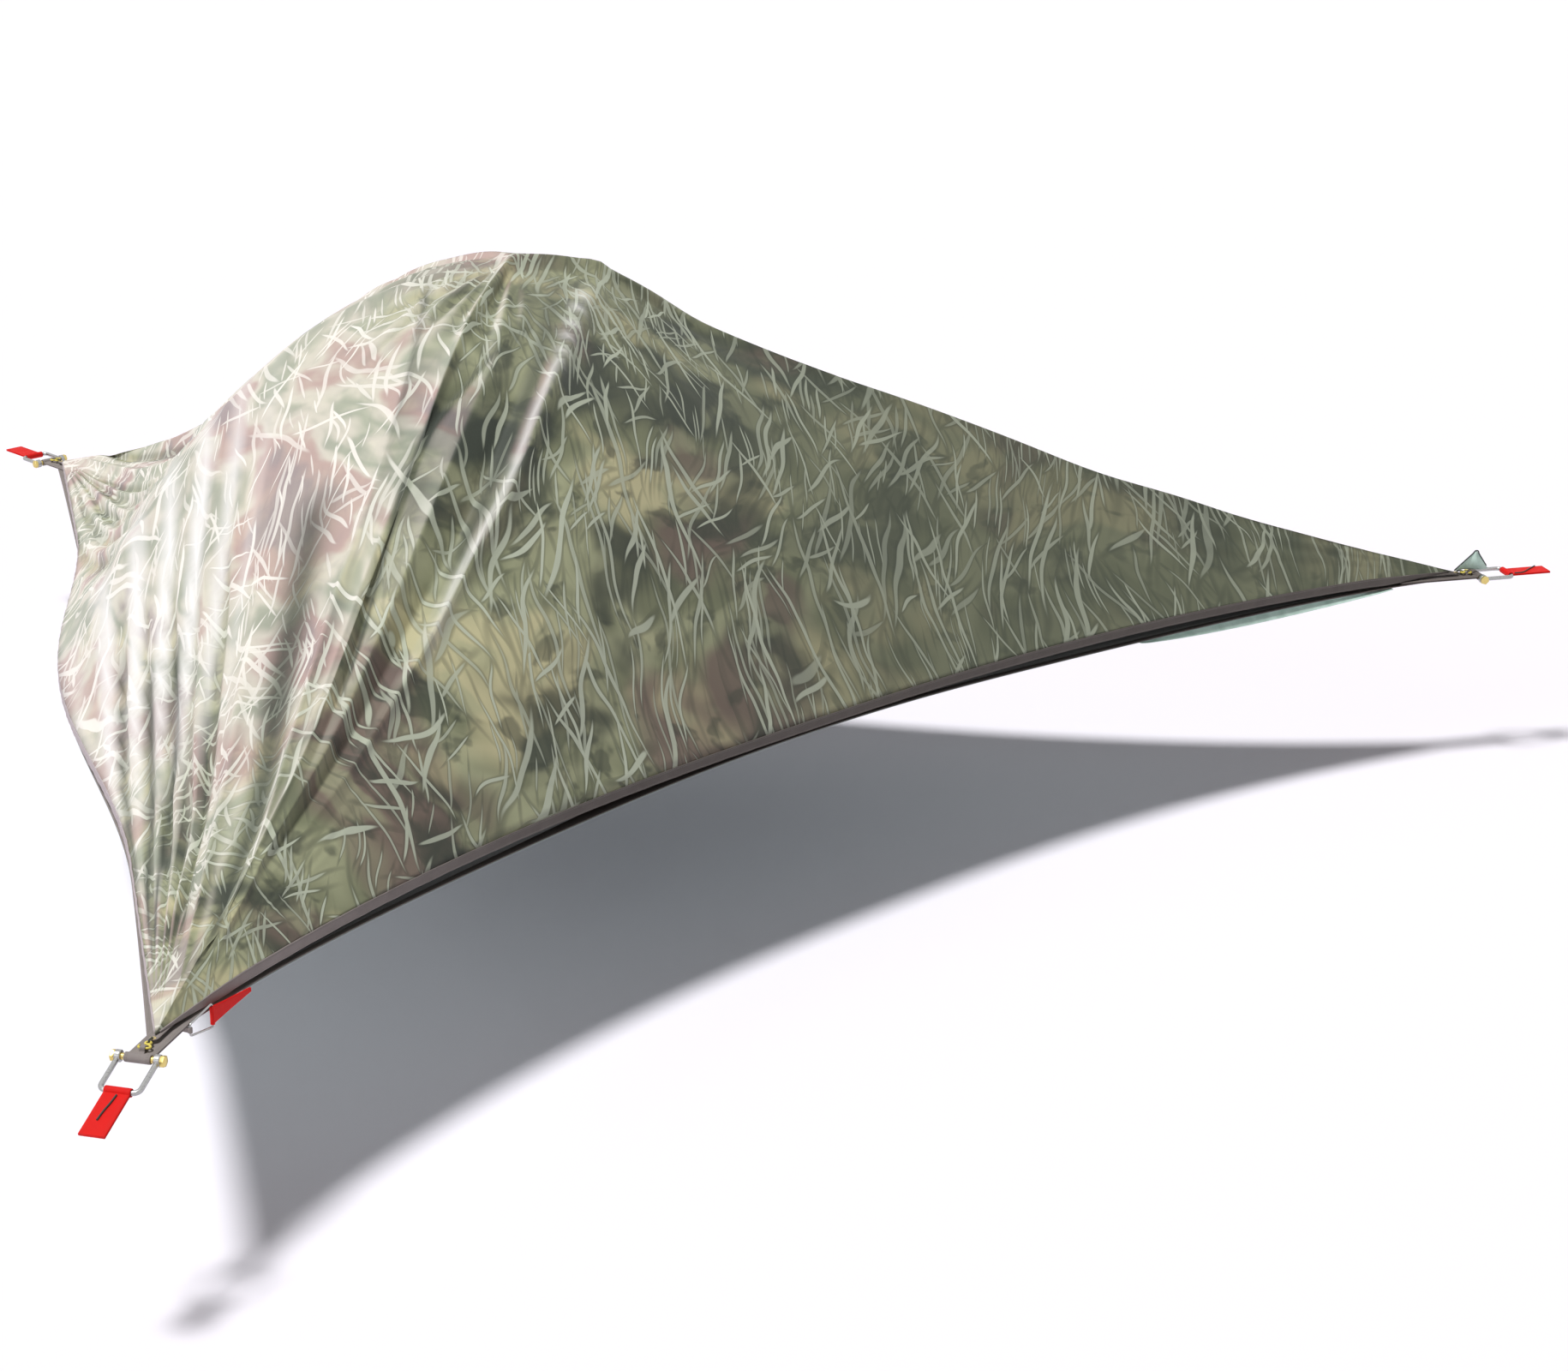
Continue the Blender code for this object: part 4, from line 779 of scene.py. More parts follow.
# Folds that fan out of a corner: (half width in degrees, ((share of the way to the crown, plan
# angle from the line to the crown, height in metres), ...)); negative angles lie toward the front
fanFolds = (
    (0.62, ((.15, -3.0, 0), (.30, -4.6, .003), (.40, -5.6, .010), (.57, -6.8, .018), (.69, -7.6, .021),
            (.78, -7.2, .021), (.87, -6.4, .018), (1.0, -4.8, .012), (1.06, -4.0, 0))),
    (1.00, ((.10, -1.2, 0), (.20, -1.4, -.004), (.37, -3.7, -.008), (.53, -4.6, -.012), (.62, -5.2, -.014),
            (.72, -5.3, -.014), (.85, -4.5, -.012), (.95, -3.0, -.006), (1.0, -2.6, 0))),
    (0.90, ((.04, -11, 0), (.08, -6.5, .005), (.12, -3.5, .009), (.20, -1.6, .011), (.40, -2.2, .013),
            (.60, -2.6, .012), (.75, -2.9, .008), (.88, -2.8, .004), (.97, -2.6, 0))),
    (0.60, ((.30, -1.0, 0), (.45, -1.1, -.008), (.57, -.2, -.010), (.70, .0, -.010), (.76, -1.3, -.009),
            (.82, -2.7, -.004), (.88, -4.0, 0))),
    (1.00, ((.22, 0.4, 0), (.27, 1.2, .006), (.36, 2.6, .011), (.50, 3.2, .013), (.70, 2.9, .010),
            (.85, 3.0, .005), (.97, 3.0, 0))),
    (1.90, ((.04, -9.0, 0), (.08, -4.0, -.005), (.12, -.5, -.010), (.19, 4.0, -.014), (.28, 5.2, -.014),
            (.36, 6.6, -.013), (.45, 8.0, -.012), (.57, 8.6, -.008), (.68, 8.8, 0))),
    (1.20, ((.04, 3.0, 0), (.10, 8.0, .006), (.20, 10.6, .010), (.30, 12.0, .012), (.45, 12.6, .012),
            (.60, 12.4, .008), (.80, 12.2, 0))),
    (0.80, ((.10, 13, 0), (.20, 15.4, -.006), (.45, 16.2, -.008), (.62, 16.4, -.006), (.80, 16.4, 0))),
    (0.55, ((.15, 24.0, 0), (.26, 24.6, -.009), (.40, 23.4, -.013), (.52, 23.2, -.011), (.70, 23.0, 0))),
    (0.55, ((.20, 23.0, 0), (.30, 22.2, -.007), (.37, 21.4, -.013), (.48, 20.5, -.013), (.61, 20.9, -.009),
            (.75, 21, 0))),
    (0.50, ((.30, 26.0, 0), (.42, 26.2, -.010), (.56, 26.2, -.012), (.72, 25.2, -.009), (.90, 25, 0))),
    (0.55, ((.35, .9, 0), (.48, .8, .003), (.60, .5, .005), (.72, .2, .003), (.82, 0, 0))),
)
# Fine gathers beside them: (from degrees, to degrees, period, height, from share, to share)
fanGathers = ((15.5, 28.5, 2.5, .0075, .04, .95), (13.0, 28.0, 1.1, .0014, .10, .90),
              (-9.5, -5.0, 1.7, .0016, .05, .45))
tipGathers = ((-7.5, 7.5, 2.5, .0030, .03, .42),)
# Lines that the light picks out about corner A, one bright and the others dark: (half width in
# degrees, strength, ((share, plan angle), ...))
crestLine = (0.36, 0.52, ((.50, -7.0), (.60, -6.9), (.66, -7.5), (.76, -7.1), (.83, -6.8), (.90, -5.9),
                          (1.0, -4.6)))
creaseLines = (
    (0.75, 0.62, ((.56, -5.6), (.66, -6.1), (.76, -5.7), (.83, -5.3), (.90, -4.2), (1.0, -2.8))),
    (0.26, 0.66, ((.40, -1.5), (.45, -1.1), (.57, -.2), (.70, .0), (.76, -1.3), (.82, -2.7), (.90, -4.4))),
    (0.28, 0.60, ((.68, 2.9), (.79, 3.1), (.86, 3.7), (.95, 4.6))),
    (0.90, 0.35, ((.62, -2.0), (.74, -3.4), (.86, -3.2), (.96, -1.6))),
    (1.90, 0.74, ((.09, -3.0), (.12, -.5), (.19, 4.0), (.28, 5.2), (.36, 6.6), (.45, 8.0), (.57, 8.6),
                  (.70, 8.8))),
    (0.44, 0.80, ((.10, 23.8), (.26, 24.6), (.40, 23.4), (.52, 23.2), (.66, 23.1))),
    (0.44, 0.86, ((.12, 23.2), (.30, 22.2), (.37, 21.4), (.48, 20.5), (.66, 20.9))),
    (0.40, 0.70, ((.26, 26.0), (.42, 26.2), (.56, 26.2), (.74, 25.2))),
)


def aboutCorner(points, key):
    # plan angle about a corner from the line to the crown, and share of the way to the crown
    tip = outward(key) * (cornerRadius - hem["setback"])
    toward, away = crown - tip, points[:, :2] - tip
    turn = np.degrees(np.arctan2(toward[0] * away[:, 1] - toward[1] * away[:, 0], away @ toward))
    return turn * (-1 if key == "c" else 1), np.linalg.norm(away, axis=1) / np.linalg.norm(toward)


def fanHeight(points, key, folds, gathers):
    # sum of size * exp(-|(turn - fold's turn) / width|^1.4), and of windowed cosines of the turn
    turn, share = aboutCorner(points, key)
    height = np.zeros(len(points))
    for width, path in folds:
        shares, turns, sizes = np.array(path, float).T
        size = smoothRead(shares, sizes, share) * ((share > shares[0]) & (share < shares[-1]))
        height += size * np.exp(-np.abs((turn - smoothRead(shares, turns, share)) / width) ** 1.4)
    for low, high, period, size, start, end in gathers:
        kept = window(turn, low, high, 1.5, 1.5) * window(share, start, end, 0.08, 0.35)
        sway = 0.5 * np.sin(share * 9 + turn * 0.3)
        height += size * kept * np.cos(2 * np.pi * (turn + sway) / period)
    return height


def lineShare(turn, share, line):
    # strength * exp(-((turn - line's turn) / width)^2), faded over the line's two ends
    width, strength, path = line
    shares, turns = np.array(path, float).T
    ends = window(share, shares[0], shares[-1], 0.06, 0.04)
    return strength * ends * np.exp(-((turn - smoothRead(shares, turns, share)) / width) ** 2)


# Rain fly: a ruffle is (height, distance from the crown, spread, how many go round, slant, bend,
# bends round); folds reach inward no further than reach, and less by crossingReach from crossing's
# metres off the crown, where the poles cross
fly = {"rise": 0.945, "hem": flyHem, "standoff": 0.026, "slack": 1.0, "steps": (98, 78), "relax": 8,
       "focus": 1.4, "thick": 0.0005, "ruffle": (0.0085, 0.24, 0.13, 29, 6, 1.8, 3),
       "fine": (0.0026, 0.30, 0.17, 49, 7, 2, 5), "ruffleLift": 0.45, "foldShare": 1.35, "freeHem": 0.10,
       "reach": 0.017, "crossingReach": 0.007, "crossing": (0.60, 0.25), "drift": 0.0020,
       "driftWaves": ((1.0, 9.1, 3.7, 0.0), (1.0, -5.3, 11.7, 1.1), (0.7, 17.9, -13.3, 0.4))}
# Painted light on it: how much of the painted light the valleys and the stretch near corner A lose,
# how it follows the way the cloth faces, and the painted glare on the sunny face of each gather: from and
# to in degrees and in share, with their fades
flyLight = {"valley": 0.010, "valleyShare": 0.55, "nearShare": 0.30, "nearUntil": (0.62, 0.45), "nearTurn": -8,
            "base": 0.40, "side": 1.0, "up": 0.20, "perDegree": 0.03, "degrees": 12, "glare": 0.9,
            "glareTurn": (13, 29.5, 5, 3), "glareShare": (0.40, 1.05, 0.22, 0.25), "stripe": (2.5, 0.7, 1.6)}


def ruffleRing(bearing, away, ruffle):
    # a bell over the distance from the crown, and cos(count bearing + slant distance + a sway)
    _, at, wide, count, slant, bend, bends = ruffle
    return (np.exp(-((away - at) / wide) ** 2),
            np.cos(count * bearing + slant * away + bend * np.sin(bends * bearing)))


def crownRuffles(x, y):
    # two rings of ruffles round the crown, the larger stronger on the rear side; and how strong the
    # finer is there, and the distance from the crown
    bearing = np.arctan2(y - crown[1], x - crown[0])
    away = np.hypot(x - crown[0], y - crown[1])
    (ring, waves), (fine, fineWaves) = (ruffleRing(bearing, away, fly[name]) for name in ("ruffle", "fine"))
    ring = ring * (0.60 - 0.40 * np.cos(bearing)) * (0.7 + 0.3 * np.sin(5 * bearing))
    fine = fine * (0.65 + 0.35 * np.sin(7 * bearing + 1))
    rise = fly["ruffle"][0] * ring * (waves + fly["ruffleLift"]) + fly["fine"][0] * fine * fineWaves
    return rise, fine, away


def lightFly(piece, points, valley):
    # painted light by the way the cloth faces, painted glare on the gathers and crest, and painted shade on
    # creases
    normals, spec = readAll(piece.data.vertices, "normal", 3), flyLight
    turn, share = aboutCorner(points, "a")
    until, over = spec["nearUntil"]
    # painted light: paler where the cloth faces the side lamp and up, and further round from corner A; less
    # near corner A and in the valleys, which is painted shade
    near = spec["nearShare"] * np.clip((until - share) / over, 0, 1) * (turn > spec["nearTurn"])
    paintedLight = (spec["base"] - spec["side"] * normals[:, 0] - spec["up"] * normals[:, 2]
              + spec["perDegree"] * np.clip(turn, -spec["degrees"], spec["degrees"]))
    paintedLight = softStep(np.clip(np.clip(paintedLight, 0, 1) - near - spec["valleyShare"] * valley, 0, 1))
    period, lead, power = spec["stripe"]
    stripe = (0.5 + 0.5 * np.cos(2 * np.pi * (turn + 0.5 * np.sin(share * 9) + lead) / period)) ** power
    glare = stripe * window(turn, *spec["glareTurn"]) * window(share, *spec["glareShare"])
    glare = np.maximum(spec["glare"] * glare, lineShare(turn, share, crestLine))
    # painted shade along the crease lines that the light leaves dark
    creaseShade = np.max([lineShare(turn, share, line) for line in creaseLines], axis=0)
    for name, value in (("paintedLight", paintedLight), ("glare", glare), ("creaseShade", creaseShade)):
        piece.data.attributes.new(name, "FLOAT", "POINT").data.foreach_set("value", value)


def makeFly():
    # the cover moved along its normals by folds, gathers, ruffles and a slow drift, all of which
    # fade into the hem
    points, faces, _ = coverMesh(fly)
    x, y = points[:, 0], points[:, 1]
    rise = fly["foldShare"] * sum(fanHeight(points, key, fanFolds, fanGathers) for key in ("a", "c"))
    ruffles, fine, fromCrown = crownRuffles(x, y)
    rise = rise + fanHeight(points, "b", (), tipGathers) + ruffles
    # valleys among the crown's ruffles, where the painted light is lessened as painted shade
    valley = np.clip((fly["ruffle"][0] * 0.5 * fine - rise) / flyLight["valley"], 0, 1)
    start, over = fly["crossing"]
    reach = fly["reach"] - fly["crossingReach"] * np.clip((start - fromCrown) / over, 0, 1)
    rise = np.maximum(rise, -reach) + fly["drift"] * waveSum(x, y, fly["driftWaves"])
    hems = [flyHem(edge, np.linspace(0, 1, 90))[None, :, :2] for edge in edgeEnds]
    toHem = np.min([np.linalg.norm(points[:, None, :2] - line, axis=2).min(1) for line in hems], axis=0)
    rise = rise * softStep(np.clip(toHem / fly["freeHem"], 0, 1))
    piece = addPiece("rainFly", points, faces, flyFinish, replaced="rain_fly", slot="rain_fly")
    points = points + rise[:, None] * readAll(piece.data.vertices, "normal", 3)
    piece.data.vertices.foreach_set("co", points.ravel())
    piece.data.update()
    lightFly(piece, points, valley)
    shellCloth(piece, fly["thick"], (3.55, 3.95))
    print("fly:", len(points), "points,", len(faces), "faces")


makeFly()

# Hem tape round the fly's lower edge
hemTape = {"height": 0.022, "tipHeight": 0.006, "thick": 0.0030, "start": 0.014, "lap": 0.0012,
           "ease": (0.02, 0.20), "sway": ((0.0005, 61, 0, 0), (0.0004, 143, 0, 1))}


def makeHemTape(edge):
    # a band hung from the hem, its height easing down to the tip's toward the corners
    share = edgeShares(hemTape["start"], 300)
    away, normal = fromEnd(share), edgeNormal(edge, share)
    start, over = hemTape["ease"]
    ease = softStep(np.clip((away - start) / over, 0, 1))
    height = hemTape["tipHeight"] + (hemTape["height"] - hemTape["tipHeight"]) * ease
    sway = waveSum(away, 0, hemTape["sway"])[:, None]
    top = flyHem(edge, share) + lifted(normal * sway, hemTape["lap"])
    low = top - lifted(2 * normal * sway, height)
    # the rear tape takes the paler copy, painted light on the sunny side
    addBands("hemTape" + edge.capitalize(), [(top, low, hemTape["thick"])],
             litTapeFinish if edge == "rear" else hemFinish, replaced=edge + "_hem_tape", slot="hem_webbing")


# Load webbing round the floor, the three floor panels and the straps below their seams
hatch = {"side": 0.800, "drop": 0.045, "frame": 0.045, "flapMargin": 0.010, "flapGap": 0.0003, "sag": 0.003,
         "waves": ((0.35, 22, 5, 0), (0.3, -9, 31, 0)), "binding": 0.030, "bindingThick": 0.0012,
         "zip": 0.0055, "zipThick": 0.0013, "zipGap": 0.0007}
floorCloth = {"start": 0.270, "thick": 0.0008, "sag": 0.006, "sagWidth": 0.5, "pucker": 0.0016,
              "puckerWidth": 0.4, "hatchShare": 0.41, "seamGap": 0.0004, "seamThick": 0.0015}
strapEnd = 0.300                                         # from the corner to the end of a cross strap
lip = {"from": 0.76, "to": 0.95, "tall": 0.019, "inside": 0.012, "outside": 0.004, "thick": 0.0008}
hatchRadius = hatch["side"] / math.sqrt(3)
seamLength = cornerRadius - hatchRadius
underStrap = webbing["thick"] / 2 + webbing["lap"]       # from a strap's middle down to what lies below it
underSeam = floorCloth["seamThick"] + underStrap         # from the floor's top down to a cross strap's middle


def seamLevel(radius):
    # the floor's top along a seam falls evenly from the corner to the hatch
    top = webbing["level"] - underStrap
    return top - (hatch["drop"] + top) * (cornerRadius - radius) / seamLength


def strapInner(edge, share):
    # the inner border of an edge strap, kept on its own side of the nearer corner's middle line
    inner = edgeLine(edge, share) - edgeNormal(edge, share) * webbing["width"]
    for _, across, mine in edgeHalves(edge, share):
        inner = inner + (np.maximum(0, webbing["lap"] - inner @ across) * mine)[:, None] * across
    return inner


def makeEdgeStrap(edge):
    # a band between the floor's edge and the strap's inner border
    share = edgeShares(webbing["tip"], 340)
    outer, inner = (lifted(line(edge, share), edgeLevel(share)) for line in (edgeLine, strapInner))
    addBands("edgeStrap" + edge.capitalize(), [(outer, inner, webbing["thick"])], loadFinish,
             replaced=edge + "_edge_strap", slot="load_webbing")


def makeFloorBay(edge):
    # rows under the edge strap, then even steps to the seam; sag * sin(pi t) and small puckers
    share = edgeShares(floorCloth["start"], 241)
    outer, under = (lifted(line(edge, share), edgeLevel(share) - underStrap) for line in (edgeLine, strapInner))
    toEnd, hatchShare = np.minimum(share, 1 - share), floorCloth["hatchShare"]
    radius = cornerRadius - seamLength * np.minimum(toEnd / hatchShare, 1)
    inner = np.zeros((len(share), 3))
    for key, across, mine in edgeHalves(edge, share):
        seam = radius[:, None] * outward(key) + floorCloth["seamGap"] * across
        inner += lifted(seam, seamLevel(radius)) * mine[:, None]
    start, end = (outward(key) * hatchRadius for key in edgeEnds[edge])
    part = np.clip((share - hatchShare) / (1 - 2 * hatchShare), 0, 1)
    beside = toEnd > hatchShare
    inner[beside] = lifted(start + part[beside, None] * (end - start), seamLevel(hatchRadius))
    down = np.linspace(0, 1, 27)
    rows = under[:, None] + down[None, :, None] * (inner - under)[:, None]
    width = np.linalg.norm(inner - under, axis=1)[:, None]
    along, down = share[:, None] * plan["span"], down[None]
    rows[..., 2] -= floorCloth["sag"] * np.sin(np.pi * down) * np.minimum(1, width / floorCloth["sagWidth"])
    pucker = np.cos(along * 71 + 9 * down) * np.exp(-down * 6) + 0.6 * np.sin(along * 23 + 14 * down)
    rows[..., 2] -= (floorCloth["pucker"] * (1 + pucker) * np.sin(np.pi * down) ** 0.7
                     * np.minimum(1, width / floorCloth["puckerWidth"]))
    grid = np.concatenate([outer[:, None], rows], 1)
    addSheet("floorBay" + edge.capitalize(), grid, gridFaces(*grid.shape[:2]), floorFinish, floorCloth["thick"],
             (3.42, 0.92), [edge + "_edge_strap", "hatch_frame"], replaced=edge + "_floor_bay",
             slot="floor_fabric")


def makeFloorLip():
    # a turned-down lip of the floor: depth = tall * sin^0.7 of the way along it
    share = np.linspace(lip["from"], lip["to"], 90)
    level = edgeLevel(share) - underStrap - lip["thick"]
    swell = np.sin(np.pi * np.linspace(0, 1, len(share))) ** 0.7
    line, normal = edgeLine("front", share), edgeNormal("front", share)
    low = lifted(line + normal * lip["outside"], level - lip["thick"] - lip["tall"] * swell)
    addBands("floorLip", [(lifted(line - normal * lip["inside"], level), low, lip["thick"])], sheerFinish)


def makeCrossStrap(key, side):
    # a straight band below a seam from the hatch frame to the corner
    radius = np.linspace(hatchRadius + 2 * hatch["frame"] + webbing["lap"], cornerRadius - strapEnd, 60)
    middle = lifted(radius[:, None] * outward(key), seamLevel(radius) - underSeam)
    addBands("crossStrap" + key.upper(), [ribbon(middle, side, webbing["width"], webbing["thick"])],
             loadFinish, replaced="cross_strap_" + key, slot="load_webbing")


def triangleSide(first, second, radius, level):
    # forty points between two corners of a triangle of the given corner radius
    start, end = outward(first) * radius, outward(second) * radius
    return lifted(start + np.linspace(0, 1, 40)[:, None] * (end - start), level)


def makeHatch():
    # frame: a mitred band on each side of the triangle; flap: a bound sheet below it; zip: a coil
    # along the two sides that open
    frameLevel = seamLevel(hatchRadius) - underSeam
    flapLevel = frameLevel - underStrap - hatch["flapGap"]
    flapRadius = hatchRadius + 2 * hatch["flapMargin"]
    boundLevel = flapLevel - floorCloth["thick"]
    frames, binding = [], []
    for ends in (("a", "b"), ("b", "c"), ("c", "a")):
        frames.append((triangleSide(*ends, hatchRadius + 2 * hatch["frame"], frameLevel),
                       triangleSide(*ends, hatchRadius, frameLevel), webbing["thick"]))
        binding.append((triangleSide(*ends, flapRadius, boundLevel),
                        triangleSide(*ends, flapRadius - hatch["binding"], boundLevel), hatch["bindingThick"]))
    addBands("hatchFrame", frames, loadFinish, replaced="hatch_frame", slot="load_webbing")
    across, down = np.meshgrid(np.linspace(-1, 1, 41), np.linspace(0, 1, 41), indexing="ij")
    x = -flapRadius / 2 + 1.5 * flapRadius * down
    y = across * flapRadius * math.sqrt(3) / 2 * (1 - down)
    inside = np.minimum(1, 4 * (1 - np.abs(across)) * (1 - down)) * np.minimum(1, 4 * down)
    z = flapLevel - hatch["sag"] * inside * (1 + waveSum(x, y, hatch["waves"]))
    addSheet("hatchFlap", np.stack([x, y, z], -1), gridFaces(*x.shape), hatchFinish, floorCloth["thick"],
             (0.84, 0.73), ["hatch_frame"], body="hatch_flap", replaced="hatch_flap", slot="hatch_fabric")
    addBands("hatchBinding", binding, hemFinish, body="hatch_flap")
    coils = []
    for key in ("a", "c"):
        line = triangleSide("b", key, hatchRadius + hatch["frame"] + hatch["flapMargin"],
                            frameLevel - webbing["thick"] / 2 - hatch["zipGap"])
        across = np.cross(unit(line[-1] - line[0]), [0, 0, 1])
        coils.append(ribbon(line, across, hatch["zip"], hatch["zipThick"]))
    addBands("hatchZip", coils, blackFinish)


# Insect mesh: the same shape a little inside the fly, with one door in its rear panel
canopy = {"rise": 0.917, "hem": canopyHem, "standoff": 0.013, "slack": 1.30, "steps": (50, 32), "relax": 3,
          "focus": 1.0, "thick": 0.0006}
door = {"patch": ("a", "rear", "rear"), "across": (0.20, 0.62), "down": (0.375, 0.875), "gap": 0.003,
        "binding": 0.016, "bindingThick": 0.0010}


def makeCanopy():
    # the cover without the faces of its door; the door is its own grid there, drawn in by the gap
    # and straightened toward its hinge row
    points, faces, inDoor = coverMesh(canopy, door)
    faces = [face for face, gone in zip(faces, inDoor) if not gone]
    used = np.unique(np.concatenate([np.array(face) for face in faces]))
    number = np.zeros(len(points), int)
    number[used] = np.arange(len(used))
    faces = [number[list(face)].tolist() for face in faces]
    addSheet("meshCanopy", points[used], faces, netFinish, canopy["thick"], (3.40, 3.65),
             ["long_pole_section_2", "cross_pole_section_2"], replaced="mesh_canopy", slot="mesh_fabric")
    across, down = np.meshgrid(np.linspace(*door["across"], 31), np.linspace(*door["down"], 25), indexing="ij")
    leaf = coverPoints(canopy, door["patch"], across, down)
    low = leaf[:, -1]
    chord = low[0] + np.linspace(0, 1, len(low))[:, None] * (low[-1] - low[0])
    fade = np.clip(np.linspace(0, 1, leaf.shape[1]) * 3 - 2, 0, 1) ** 2
    leaf = leaf + fade[None, :, None] * (chord - low)[:, None]
    leaf = leaf - unit(leaf - leaf.reshape(-1, 3).mean(0)) * door["gap"]
    addSheet("meshDoor", leaf, gridFaces(*leaf.shape[:2]), netFinish, canopy["thick"], (0.95, 0.62),
             ["mesh_canopy"], body="mesh_door", replaced="mesh_door", slot="mesh_fabric")
    rim = np.concatenate([leaf[:, 0], leaf[-1, 1:], leaf[-2::-1, -1], leaf[0, -2:0:-1], leaf[:1, 0]])
    inner = rim - unit(rim - rim.mean(0)) * door["binding"]
    drop = [0, 0, door["bindingThick"]]
    addBands("doorBinding", [(rim - drop, inner - drop, door["bindingThick"])], hemFinish, body="mesh_door")


# Corner hardware: places are metres outside the corner, and corner A's shackle droops by degrees
corner = {"tail": 0.180, "pin": 0.035, "height": 0.0105, "droop": {"a": 18.0, "b": 0.0, "c": 0.0},
          "strap": 0.108, "barGap": 0.0005}


def doubledPath(bar, hole, thick, tail, count=150):
    # webbing doubled round a bar in (x, z): out along the lower layer, round, back on the upper
    radius, lap = hole + thick / 2, thick / 2 + 0.0001
    lean = math.asin(lap / radius)
    around = arcLine((0, 0), radius, lean - math.pi, math.pi - lean, 30)
    line = np.concatenate([[[-abs(tail), -lap]], around, [[-abs(tail), lap]]])
    line = resample(line, count)
    return upright(line * math.copysign(1, tail) + [bar, 0])


# Keeper for the hook, sewn on the loop: its line in (x, z) from the keeper's place
hookKeeper = {"at": 0.016, "width": 0.010, "thick": 0.0014,
              "line": ((-.0200, .0032), (-.0100, .0034), (-.0052, .0060), (-.0034, .0105), (-.0022, .0133),
                       (.0000, .0141), (.0022, .0133), (.0034, .0105), (.0042, .0060), (.0070, .0034),
                       (.0120, .0032))}


def makeCornerLoop(key, side):
    # load webbing doubled round the pin, and the keeper's hump on it
    loop = doubledPath(corner["pin"], pin["hole"], webbing["thick"], corner["tail"] + corner["pin"])
    hump = smoothPath(upright(np.add(hookKeeper["line"], (hookKeeper["at"], 0))), 60)
    bands = [ribbon(atCorner(line, key), side, spec["width"], spec["thick"])
             for line, spec in ((loop, webbing), (hump, hookKeeper))]
    addBands("cornerLoop" + key.upper(), bands, loadFinish, replaced="corner_loop_" + key, slot="load_webbing")


shackle = {"leg": 0.037, "bow": 0.082, "rod": 0.0050, "bend": 0.012, "start": 0.004, "eye": 0.011,
           "eyeOver": 0.0004, "eyeRound": 0.0012}
pin = {"hole": 0.0065, "radius": 0.0060, "gap": 0.0006, "length": 0.0090, "head": 0.0110,
       "turned": ((0.0, 0.62, 0), (0.0009, 0.86, 0.6), (0.0018, 1, 1), (0.0078, 1, 1), (0.0090, 0.9, 0.5))}


def makeShackle(key, side):
    # a bar bent to a bow: leg, two quarter bends, leg; and an eye at each end
    leg, bow, bend, droop = shackle["leg"], shackle["bow"], shackle["bend"], corner["droop"][key]
    bar = np.concatenate([[[shackle["start"], -leg]],
                          arcLine((bow - bend, bend - leg), bend, -math.pi / 2, 0, 12),
                          arcLine((bow - bend, leg - bend), bend, 0, math.pi / 2, 12),
                          [[shackle["start"], leg]]])
    up = np.subtract(*atCorner([[0, 0, 1], [0, 0, 0]], key, 0, droop))
    half, curve = shackle["rod"] + shackle["eyeOver"], shackle["eyeRound"]
    eye = [(-half, pin["hole"], 0), (-half, shackle["eye"] - curve, 0), (-half + curve, shackle["eye"], 0)]
    eye += [(-along, radius, square) for along, radius, square in eye[::-1]]
    bar = atCorner(lifted(resample(bar, 90), 0), key, corner["pin"], droop)
    places = atCorner([[0, -leg, 0], [0, leg, 0]], key, corner["pin"], droop)
    addParts("shackle" + key.upper(), [tubeParts(bar, shackle["rod"], up, 18)]
             + [latheParts(eye, place, side, 36, hollow=True) for place in places],
             steelFinish, body="shackle_" + key, replaced="shackle_" + key, slot="steel")


def makePin(key, side):
    # a plain shank between two six-sided heads, whose turned faces are (from the end, share of the
    # head's radius, share of corners)
    reach = shackle["leg"] + shackle["rod"] + pin["gap"]
    profile = [(along - reach - pin["length"], share * pin["head"], square)
               for along, share, square in pin["turned"]]
    profile.append((-reach, pin["radius"], 0))
    profile += [(-along, radius, square) for along, radius, square in profile[::-1]]
    place = atCorner([0, 0, 0], key, corner["pin"])
    addParts("shacklePin" + key.upper(), [latheParts(profile, place, side, 48, 6)], brassFinish,
             body="shackle_pin_" + key, replaced="shackle_pin_" + key, slot="brass")


def makeAnchorStrap(key, side):
    # red strap doubled round the bow
    strap = doubledPath(shackle["bow"], shackle["rod"] + corner["barGap"], webbing["thick"], -corner["strap"])
    line = atCorner(strap, key, corner["pin"], corner["droop"][key])
    addBands("anchorStrap" + key.upper(), [ribbon(line, side, webbing["width"], webbing["thick"])], redFinish,
             body="anchor_strap_" + key, replaced="anchor_strap_" + key, slot="red_webbing")


# What holds the fly down: a bent hook, an elastic loop and the tab in the fly's corner
hook = {"rod": 0.0021, "half": 0.0110, "eyeAt": -0.004, "eye": 0.0050, "taper": 0.35, "back": 0.010}
bungee = {"cord": 0.0015, "bend": 0.0022, "tall": 0.0040, "inHole": 0.0022}
tab = {"hole": -0.022, "tail": -0.140, "front": -0.0158, "width": 0.018, "thick": 0.0018,
       "roundFrom": -0.0250, "round": 0.0094,
       "eyelet": ((-.0014, .0032, 0), (-.0014, .0056, 0), (.0014, .0056, 0), (.0017, .0046, 0),
                  (.0014, .0032, 0))}


